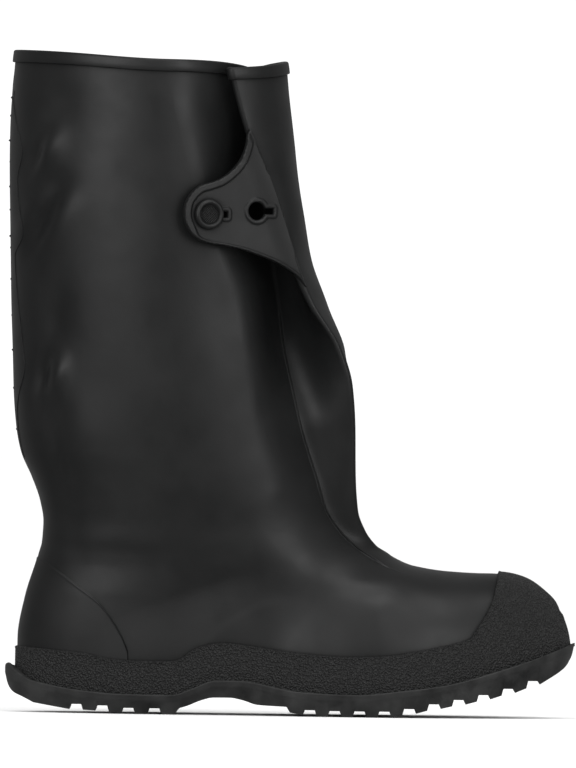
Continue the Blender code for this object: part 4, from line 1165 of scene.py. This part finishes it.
def build_outsole():
    """Sole as sections along the foot: floor side with lugs, leaning wall, ledge and its rounded edge."""
    row = ring(0.0)[:, :2]
    kick = 1 - ease(0, KICK_SPAN, round_heel(row[:, 0], row[:, 1]))
    toe_extra = TOE_LEDGE * ease(TOE_LEDGE_FROM - 1.5, TOE_LEDGE_FROM + 1.5, row[:, 0])
    reach = LEDGE + KICK_LEDGE * kick + toe_extra
    whole = offset_outline(row, reach)
    line = floor_line()
    x = sole_stations(line, (whole[:, 0].min() + 0.03, whole[:, 0].max() - 0.03))
    floor = np.interp(x, line[:, 0], line[:, 1])
    top = seat(x)
    # distance beyond the upper, height over the seat (none at the floor) and share of the heel's lip
    steps = (
        (reach - SOLE_DRAFT, None, 0.0),
        (reach - LEDGE_STEP - 0.25, -LEDGE_DEEP - 1.2, 0.0),
        (reach - LEDGE_STEP, -LEDGE_DEEP - 0.7, 0.0),
        (reach - 0.85, -LEDGE_DEEP + 0.1, 0.0),
        (reach - 0.7, -LEDGE_DEEP + 0.5, 0.1),
        (reach - 0.6, -LEDGE_DEEP + 0.9, 0.15),
        (reach - 0.1, -1.1, 0.6),
        (reach, -0.7, 0.7),
        (reach - 0.15, -0.2, 0.85),
        (reach - 0.5, 0.0, 0.93),
        (reach - 2.0, 0.0, 1.0),
        (np.full(len(row), 0.6), 0.0, 0.9),
        (np.full(len(row), -0.6), 0.0, 0.0),
    )
    heel_y = whole[np.argmin(whole[:, 0]), 1]
    back_round = KICK_ROUND * (1 - rounded(1 - (x - x[0]) / KICK_ROUND, 2.0))
    lines = []
    for outer_side in (True, False):
        half = []
        for beyond, over, share in steps:
            outline = offset_outline(row, beyond)
            behind = x < outline[:, 0].min()
            y = np.where(behind, heel_y, side_of_outline(outline, x, outer_side))
            height = floor if over is None else np.maximum(top + over, floor + 0.02 * (8 + over))
            made = np.column_stack([x, y, height + share * (kick_lip(x, y) - back_round)])
            if share == 0.0 and over == 0.0:
                made[behind] = half[-1][behind]
            half.append(made)
        lines += half if outer_side else half[::-1]
    place("tread_sole", *lofted(lines), "moulded_sole", "outsole", "sole_rubber", 32)


def build_footbed():
    """Loose liner on the sole's seat."""
    thick = size("insole_thick")
    row = ring(0.0)[:, :2]
    outline = offset_outline(row, np.full(len(row), -FOOTBED_INSET))
    ends = (outline[:, 0].min() + 0.1, outline[:, 0].max() - 0.1)
    x = (ends[0] + ends[1]) / 2 - (ends[1] - ends[0]) / 2 * np.cos(np.linspace(0, math.pi, 120))
    low = seat(x) + 0.3
    lines = []
    section = ((-0.3, 0.0), (0.0, 0.4), (0.0, thick - 0.9), (-0.3, thick - 0.3), (-1.0, thick))
    for outer_side in (True, False):
        half = []
        for inset, over in section:
            y = side_of_outline(offset_outline(row, np.full(len(row), inset - FOOTBED_INSET)), x, outer_side)
            half.append(np.column_stack([x, y, low + over]))
        lines += half if outer_side else half[::-1]
    place("footbed", *lofted(lines), "matt_insole", "insole", "insole_rubber")


def tab_frame():
    """Matrix of the tab's plane: its X forward along the tab, its Z out of it, its origin at the stud."""
    lean = math.radians(TAB_LEAN)
    forward = Vector((math.cos(lean), math.sin(lean), 0))
    out = Vector((math.sin(lean), -math.cos(lean), 0))
    heights = np.linspace(TAB_OUTLINE[-1][1], TAB_OUTLINE[0][1], 19)
    crest = fold("crest_x", heights) * out.x + fold("crest_y", heights) * out.y
    touch = out * (float(crest.max()) + CREST_RADIUS + GAP)
    at = touch + forward * ((STUD_AT[0] - touch.x) / forward.x)
    made = Matrix((forward, Vector((0, 0, 1)), out)).transposed().to_4x4()
    made.translation = Vector((at.x, at.y, STUD_AT[1]))
    return made


def on_tab(x, z):
    """A point of the side view in the tab's own plane."""
    return ((x - STUD_AT[0]) / math.cos(math.radians(TAB_LEAN)), z - STUD_AT[1])


def flowing(points, spacing):
    """Points this far apart on a smooth curve through the given ones."""
    points = np.asarray(points, float)
    before = np.concatenate([2 * points[:1] - points[1:2], points[:-1]])
    after = np.concatenate([points[1:], 2 * points[-1:] - points[-2:-1]])
    way = (after - before) / 2
    fine = []
    for i in range(len(points) - 1):
        a, b = points[i], points[i + 1]
        steps = max(2, int(round(np.linalg.norm(b - a) / spacing)))
        t = np.linspace(0, 1, steps, endpoint=False)[:, None]
        spline = (2 * t**3 - 3 * t**2 + 1) * a + (t**3 - 2 * t**2 + t) * way[i]
        fine.append(spline + (3 * t**2 - 2 * t**3) * b + (t**3 - t**2) * way[i + 1])
    return np.concatenate([*fine, points[-1:]])


def straight(points, spacing):
    """Points this far apart on straight runs between the given ones, without the last."""
    fine = []
    for a, b in zip(points[:-1], points[1:]):
        a, b = np.asarray(a, float), np.asarray(b, float)
        steps = max(1, int(round(np.linalg.norm(b - a) / spacing)))
        fine.append(a + np.linspace(0, 1, steps, endpoint=False)[:, None] * (b - a))
    return np.concatenate(fine)


def keyhole(middle):
    """Outline of a round hole with a slot that runs forward."""
    half = KEYHOLE_SLOT_WIDE / 2
    start = math.asin(half / KEYHOLE_RADIUS)
    turn = np.linspace(start, 2 * math.pi - start, 40)
    round_part = np.column_stack([np.cos(turn), np.sin(turn)]) * KEYHOLE_RADIUS
    slot = straight([(KEYHOLE_RADIUS * math.cos(start), -half), (KEYHOLE_SLOT, -half), (KEYHOLE_SLOT, half),
                     (KEYHOLE_RADIUS * math.cos(start), half)], TAB_FACET)[1:]
    return np.concatenate([round_part, slot]) + np.asarray(middle)


def distance_to(points, line, closed):
    """Shortest distance from each point to a line of points."""
    a = line if closed else line[:-1]
    b = np.roll(line, -1, 0) if closed else line[1:]
    way = b - a
    share = ((points[:, None] - a) * way).sum(2) / np.maximum((way * way).sum(1), 1e-12)
    near = a + np.clip(share, 0, 1)[..., None] * way
    return np.linalg.norm(points[:, None] - near, axis=2).min(1)


def within(points, line):
    """True for each point inside a closed line."""
    x, y = points[:, :1], points[:, 1:]
    x0, y0 = line[:, 0], line[:, 1]
    x1, y1 = np.roll(line[:, 0], -1), np.roll(line[:, 1], -1)
    crosses = (y0 > y) != (y1 > y)
    meets = x0 + (y - y0) * (x1 - x0) / np.where(np.abs(y1 - y0) < 1e-12, 1e-12, y1 - y0)
    return (crosses & (x < meets)).sum(1) % 2 == 1


def tab_drop(plan, plane):
    """How far each point of the tab sinks forward of the crest, to lie on the roll behind it."""
    rows = rings(np.linspace(*TAB_LEVELS))[:, CREST_COLUMN - CREST_STEPS:CREST_COLUMN + ROLL_STEPS]
    local = moved(rows, plane.inverted())
    crest = local[np.arange(len(local)), local[..., 2].argmax(1)]
    order = np.argsort(crest[:, 1])
    crest_at = np.interp(plan[:, 1], crest[order, 1], crest[order, 0])
    ahead = np.nonzero(plan[:, 0] > crest_at)[0]
    cloud = local[local[..., 2] > -25]
    gap = np.linalg.norm(plan[ahead, None] - cloud[None, :, :2], axis=2)
    nearest = np.argpartition(gap, 4, axis=1)[:, :4]
    near_gap = np.take_along_axis(gap, nearest, 1) + 0.05
    depth = (cloud[nearest, 2] / near_gap).sum(1) / (1 / near_gap).sum(1)
    drop = np.zeros(len(plan))
    drop[ahead] = np.minimum(depth, 0.0) * ease(0, 3, plan[ahead, 0] - crest_at[ahead])
    return drop


def rim_shape(gap, start, end):
    """Share of a border's height at a distance from the edge that it follows."""
    return ease(start - 0.7, start, gap) * (1 - ease(end, end + 0.7, gap))


def build_closure_tab():
    """Tab in one sheet, with its border, its two rimmed keyholes and a root that lies on the roll."""
    plane = tab_frame()
    free_edge = flowing([on_tab(x, z) for x, z in TAB_OUTLINE], TAB_FACET)
    root = straight([free_edge[-1], *[on_tab(x, z) for x, z in TAB_ROOT], free_edge[0]], TAB_FACET)[1:]
    outline = np.concatenate([free_edge, root])
    holes = [keyhole(on_tab(*STUD_AT)), keyhole(on_tab(*SPARE_KEYHOLE_AT))]
    low, high = outline.min(0), outline.max(0)
    u, v = np.meshgrid(np.arange(low[0], high[0], TAB_FACET), np.arange(low[1], high[1], TAB_FACET * 0.87))
    u[1::2] += TAB_FACET / 2
    inner = np.column_stack([u.ravel(), v.ravel()])
    inner = inner[within(inner, outline) & (distance_to(inner, outline, True) > TAB_FACET * 0.6)]
    for hole in holes:
        inner = inner[~within(inner, hole) & (distance_to(inner, hole, True) > TAB_FACET * 0.6)]
    plan = np.concatenate([outline, *holes, inner])
    edges, start = [], 0
    for loop in (outline, *holes):
        edges += [(start + j, start + (j + 1) % len(loop)) for j in range(len(loop))]
        start += len(loop)
    made = delaunay_2d_cdt([Vector(p) for p in plan], edges, [], 1, 1e-6)
    plan = np.array([tuple(p) for p in made[0]])
    faces = np.array([tuple(f) for f in made[2]])
    middles = plan[faces].mean(1)
    kept = within(middles, outline)
    for hole in holes:
        kept &= ~within(middles, hole)
    faces = faces[kept]
    from_edge = distance_to(plan, free_edge, False)
    from_root = distance_to(plan, root, False)
    border_wide = 1.4 + 2.6 * ease(-15, -7, plan[:, 1])
    border = rim_shape(from_edge, 0.6, border_wide)
    for hole in holes:
        border = np.maximum(border, rim_shape(distance_to(plan, hole, True), 0.6, 2.2))
    border = np.where(from_root < 3, border * ease(0.5, 3, from_root), border)
    edge_fall = 0.5 * (1 - ease(0, 0.6, from_edge))
    taper = 0.55 + 0.45 * ease(0.0, 14.0, from_root)
    drop = tab_drop(plan, plane)
    bottom = np.column_stack([plan, drop + 0.25 * (taper - 1)])
    top = np.column_stack([plan, drop + (size("tab_thick") - edge_fall) * taper + size("tab_rim") * border])
    count = len(plan)
    body = [tuple(f) for f in faces] + [tuple(f[::-1] + count) for f in faces]
    sides = {}
    for a, b, c in faces:
        for edge in ((a, b), (b, c), (c, a)):
            sides[edge] = True
    body += [(b, a, a + count, b + count) for a, b in sides if (b, a) not in sides]
    points = moved(np.concatenate([top, bottom]), plane)
    place("closure_tab_skin", points, body, "satin_upper", "closure_tab", "upper_rubber", 50)


def stud_frame():
    """Matrix of the stud: in the tab's plane, a little behind the middle of its hole."""
    return tab_frame() @ Matrix.Translation((STUD_SHIFT, 0, 0))


def stud_room():
    """Distance from the tab's inner face back to the wall behind the stud."""
    plane = stud_frame()
    out = np.array(plane.to_3x3() @ Vector((0, 0, 1)))
    rows = rings(np.linspace(*STUD_LEVELS))[:, :SIDE_COLUMNS + WALL_STEPS]
    offsets = rows.reshape(-1, 3) - np.array(plane.translation)
    depth = offsets @ out
    aside = np.linalg.norm(offsets - np.outer(depth, out), axis=1)
    return -float(depth[aside < STUD_FOOT].max())


def build_stud():
    """Turned button with a dished, knurled face."""
    head = size("tab_thick") + size("tab_rim")
    radius = size("stud_radius")
    foot_at = -stud_room() - 0.3
    profile = [
        (STUD_FOOT, foot_at), (STUD_FOOT, foot_at + 0.8), (4.4, foot_at + 1.4), (STUD_STEM, foot_at + 2.2),
        (STUD_STEM, head + 0.1), (radius - 1.0, head + 0.1), (radius - 0.4, head + 0.3), (radius, head + 0.9),
        (radius - 0.1, head + 1.6), (radius - 0.6, head + 2.3), (radius - 1.3, head + 2.75),
        (radius - 2.0, head + 2.85), (radius - 2.7, head + 2.6), (radius - 3.2, head + 2.0),
        (5.8, head + 1.3), (5.6, head + 1.0),
    ]
    profile += [(r, head + 1.0) for r in np.arange(STUD_DISC, 0.1, -0.2)]
    turn = np.linspace(0, 2 * math.pi, STUD_SIDES, endpoint=False)
    points = [(0.0, 0.0, foot_at)]
    for r, z in profile:
        x, y = r * np.cos(turn), r * np.sin(turn)
        knurl = KNURL[0] * np.sin(2 * math.pi * x / KNURL[1]) * np.sin(2 * math.pi * y / KNURL[1])
        points += list(zip(x, y, z + knurl * (r < 5.5)))
    points.append((0.0, 0.0, head + 1.0))
    faces = grid_faces(len(profile), STUD_SIDES, True, 1)
    last = 1 + (len(profile) - 1) * STUD_SIDES
    for j in range(STUD_SIDES):
        after = (j + 1) % STUD_SIDES
        faces.append((0, 1 + after, 1 + j))
        faces.append((last + j, last + after, len(points) - 1))
    place("stud_button", moved(points, stud_frame()), faces, "satin_upper", "stud", "stud_rubber", 35)


def overlap_edge():
    """Points on the wall along the edge of the back seam's overlap, and the directions out of it."""
    grid = rings(np.linspace(*OVERLAP_LEVELS))
    out = outward(grid)
    grid = grid + relief(grid)[..., None] * out
    near_back = slice(0, SIDE_COLUMNS // 2)
    points, ways = [], []
    for row, way in zip(grid[:, near_back], out[:, near_back]):
        along = np.maximum.accumulate(row[:, 0])
        at = leg("back", row[0, 2]) + overlap_inset(row[0, 2])
        points.append([np.interp(at, along, row[:, k]) for k in range(3)])
        ways.append([np.interp(at, along, way[:, k]) for k in range(3)])
    return np.array(points), np.array(ways)


def build_mould_flash():
    """Edge of the back seam's overlap, and short stubs of flash left on the seam, all in one mesh."""
    line, ways = overlap_edge()
    tangent = np.gradient(line, axis=0)
    tangent /= np.linalg.norm(tangent, axis=1, keepdims=True)
    aside = np.cross(tangent, ways)
    strand = 8
    points = []
    for centre, way, side in zip(line, ways, aside):
        for a in np.linspace(0, 2 * math.pi, strand, endpoint=False):
            points.append(tuple(centre + OVERLAP_BEAD * (math.cos(a) * way + math.sin(a) * side)))
    faces = tube_faces(len(line), strand)
    sides = 6
    for height, length in FLASH:
        back = float(leg("back", height))
        faces += tube_faces(3, sides, len(points))
        for reach, radius in ((0.6, 0.7), (-0.2, 0.55), (-length, 0.25)):
            for a in np.linspace(0, 2 * math.pi, sides, endpoint=False):
                points.append((back + reach, radius * math.cos(a), height + 1.6 * radius * math.sin(a)))
    place("mould_flash", points, faces, "satin_upper", None, "upper_rubber")


def soft_light(name, location, width, height, power):
    data = bpy.data.lights.new(name, "AREA")
    data.shape = "RECTANGLE"
    data.size, data.size_y = width, height
    data.energy = power
    made = bpy.data.objects.new(name, data)
    made.location = location
    made.rotation_euler = (Vector(LIT_POINT) - Vector(location)).to_track_quat("-Z", "Y").to_euler()
    made.visible_camera = False
    bpy.context.scene.collection.objects.link(made)


def build_floor():
    """Wide pale floor."""
    shaped = bmesh.new()
    bmesh.ops.create_circle(shaped, cap_ends=True, segments=96, radius=40.0)
    mesh = bpy.data.meshes.new("studio_floor")
    shaped.to_mesh(mesh)
    shaped.free()
    made, _, shader, _ = material_parts("pale_floor", bpy.context.scene.overshoe_colours.floor, 0.9)
    shader.inputs["Specular IOR Level"].default_value = 0.1
    mesh.materials.append(made)
    floor = bpy.data.objects.new("studio_floor", mesh)
    floor.location.z = -0.0003
    floor.visible_glossy = False
    bpy.context.scene.collection.objects.link(floor)


def build_world(fill, room, backdrop):
    """White for the eye, an even fill on matt surfaces, and a dim room with its pale sweep in glossy ones."""
    world = bpy.data.worlds.new("white_studio")
    bpy.context.scene.world = world
    world.use_nodes = True
    tree = world.node_tree
    back = tree.nodes["Background"]
    back.inputs["Color"].default_value = (1.0, 1.0, 1.0, 1.0)
    path = tree.nodes.new("ShaderNodeLightPath")
    way = tree.nodes.new("ShaderNodeTexCoord").outputs["Generated"]
    parts = tree.nodes.new("ShaderNodeSeparateXYZ")
    tree.links.new(way, parts.inputs["Vector"])
    gloss = tree.nodes.new("ShaderNodeMapRange")
    gloss.inputs["To Min"].default_value = fill
    tree.links.new(remap(tree, parts.outputs["Y"], 0.0, 0.6, room, backdrop), gloss.inputs["To Max"])
    tree.links.new(path.outputs["Is Glossy Ray"], gloss.inputs["Value"])
    tree.links.new(gloss.outputs["Result"], back.inputs["Strength"])


def build_camera(distance, roll):
    """Long lens level with the middle of the boot, square to its outer side."""
    data = bpy.data.cameras.new("photo_camera")
    data.sensor_fit = "AUTO"
    data.sensor_width = SENSOR
    data.lens = SENSOR * distance / VIEW_HEIGHT
    data.clip_start, data.clip_end = 0.1, 100.0
    camera = bpy.data.objects.new("photo_camera", data)
    turn = Matrix.Rotation(math.pi / 2, 4, "X") @ Matrix.Rotation(roll, 4, "Z")
    away = Vector((0.0, -distance, 0.0))
    camera.matrix_world = Matrix.Translation(Vector(VIEW_TARGET) + away) @ turn
    bpy.context.scene.collection.objects.link(camera)
    bpy.context.scene.camera = camera


class OVERSHOE_OT_upper(bpy.types.Operator):
    """Build the moulded upper with its fold, creases and parting lines"""

    bl_idname = "overshoe.upper"
    bl_label = "Upper"

    def execute(self, context):
        build_upper()
        build_mould_flash()
        return {"FINISHED"}


class OVERSHOE_OT_overlays(bpy.types.Operator):
    """Build the plies bonded to the upper: collar binding, pebbled rand and heel ply"""

    bl_idname = "overshoe.overlays"
    bl_label = "Overlays"

    def execute(self, context):
        build_collar_binding()
        build_rand()
        build_heel_ply()
        return {"FINISHED"}


class OVERSHOE_OT_sole(bpy.types.Operator):
    """Build the moulded sole and the loose liner on it"""

    bl_idname = "overshoe.sole"
    bl_label = "Sole"

    def execute(self, context):
        build_outsole()
        build_footbed()
        return {"FINISHED"}


class OVERSHOE_OT_closure(bpy.types.Operator):
    """Build the closure tab and the stud it hooks over"""

    bl_idname = "overshoe.closure"
    bl_label = "Closure"

    def execute(self, context):
        build_closure_tab()
        build_stud()
        return {"FINISHED"}


class OVERSHOE_OT_stage(bpy.types.Operator):
    """Set up the floor, the lights and the camera"""

    bl_idname = "overshoe.stage"
    bl_label = "Stage"

    def execute(self, context):
        studio = context.scene.overshoe_studio
        build_floor()
        build_world(studio.fill, studio.room, studio.backdrop)
        context.scene.view_settings.view_transform = "Standard"
        for name, location, width, height in LIGHTS:
            soft_light(name + "_light", location, width, height, getattr(studio, name + "_power"))
        build_camera(studio.distance, studio.roll)
        return {"FINISHED"}


class OVERSHOE_PT_panel(bpy.types.Panel):
    """Sizes, colours and building steps of the overshoe"""

    bl_idname = "OVERSHOE_PT_panel"
    bl_label = "Overshoe"
    bl_space_type = "VIEW_3D"
    bl_region_type = "UI"
    bl_category = "Overshoe"

    def draw(self, context):
        scene = context.scene
        for group in (scene.overshoe_sizes, scene.overshoe_colours, scene.overshoe_studio):
            box = self.layout.box()
            for name in group.bl_rna.properties.keys():
                if name not in ("rna_type", "name"):
                    box.prop(group, name)
        for step in STEPS:
            self.layout.operator(step.bl_idname)


GROUPS = (OvershoeSizes, OvershoeColours, OvershoeStudio)
STEPS = (OVERSHOE_OT_upper, OVERSHOE_OT_overlays, OVERSHOE_OT_sole, OVERSHOE_OT_closure, OVERSHOE_OT_stage)


def register():
    for item in (*GROUPS, *STEPS, OVERSHOE_PT_panel):
        bpy.utils.register_class(item)
    bpy.types.Scene.overshoe_sizes = PointerProperty(type=OvershoeSizes)
    bpy.types.Scene.overshoe_colours = PointerProperty(type=OvershoeColours)
    bpy.types.Scene.overshoe_studio = PointerProperty(type=OvershoeStudio)


def unregister():
    del bpy.types.Scene.overshoe_studio
    del bpy.types.Scene.overshoe_colours
    del bpy.types.Scene.overshoe_sizes
    for item in reversed((*GROUPS, *STEPS, OVERSHOE_PT_panel)):
        bpy.utils.unregister_class(item)


def main():
    register()
    bpy.ops.overshoe.upper()
    bpy.ops.overshoe.overlays()
    bpy.ops.overshoe.sole()
    bpy.ops.overshoe.closure()
    bpy.ops.overshoe.stage()


if __name__ == "__main__":
    main()
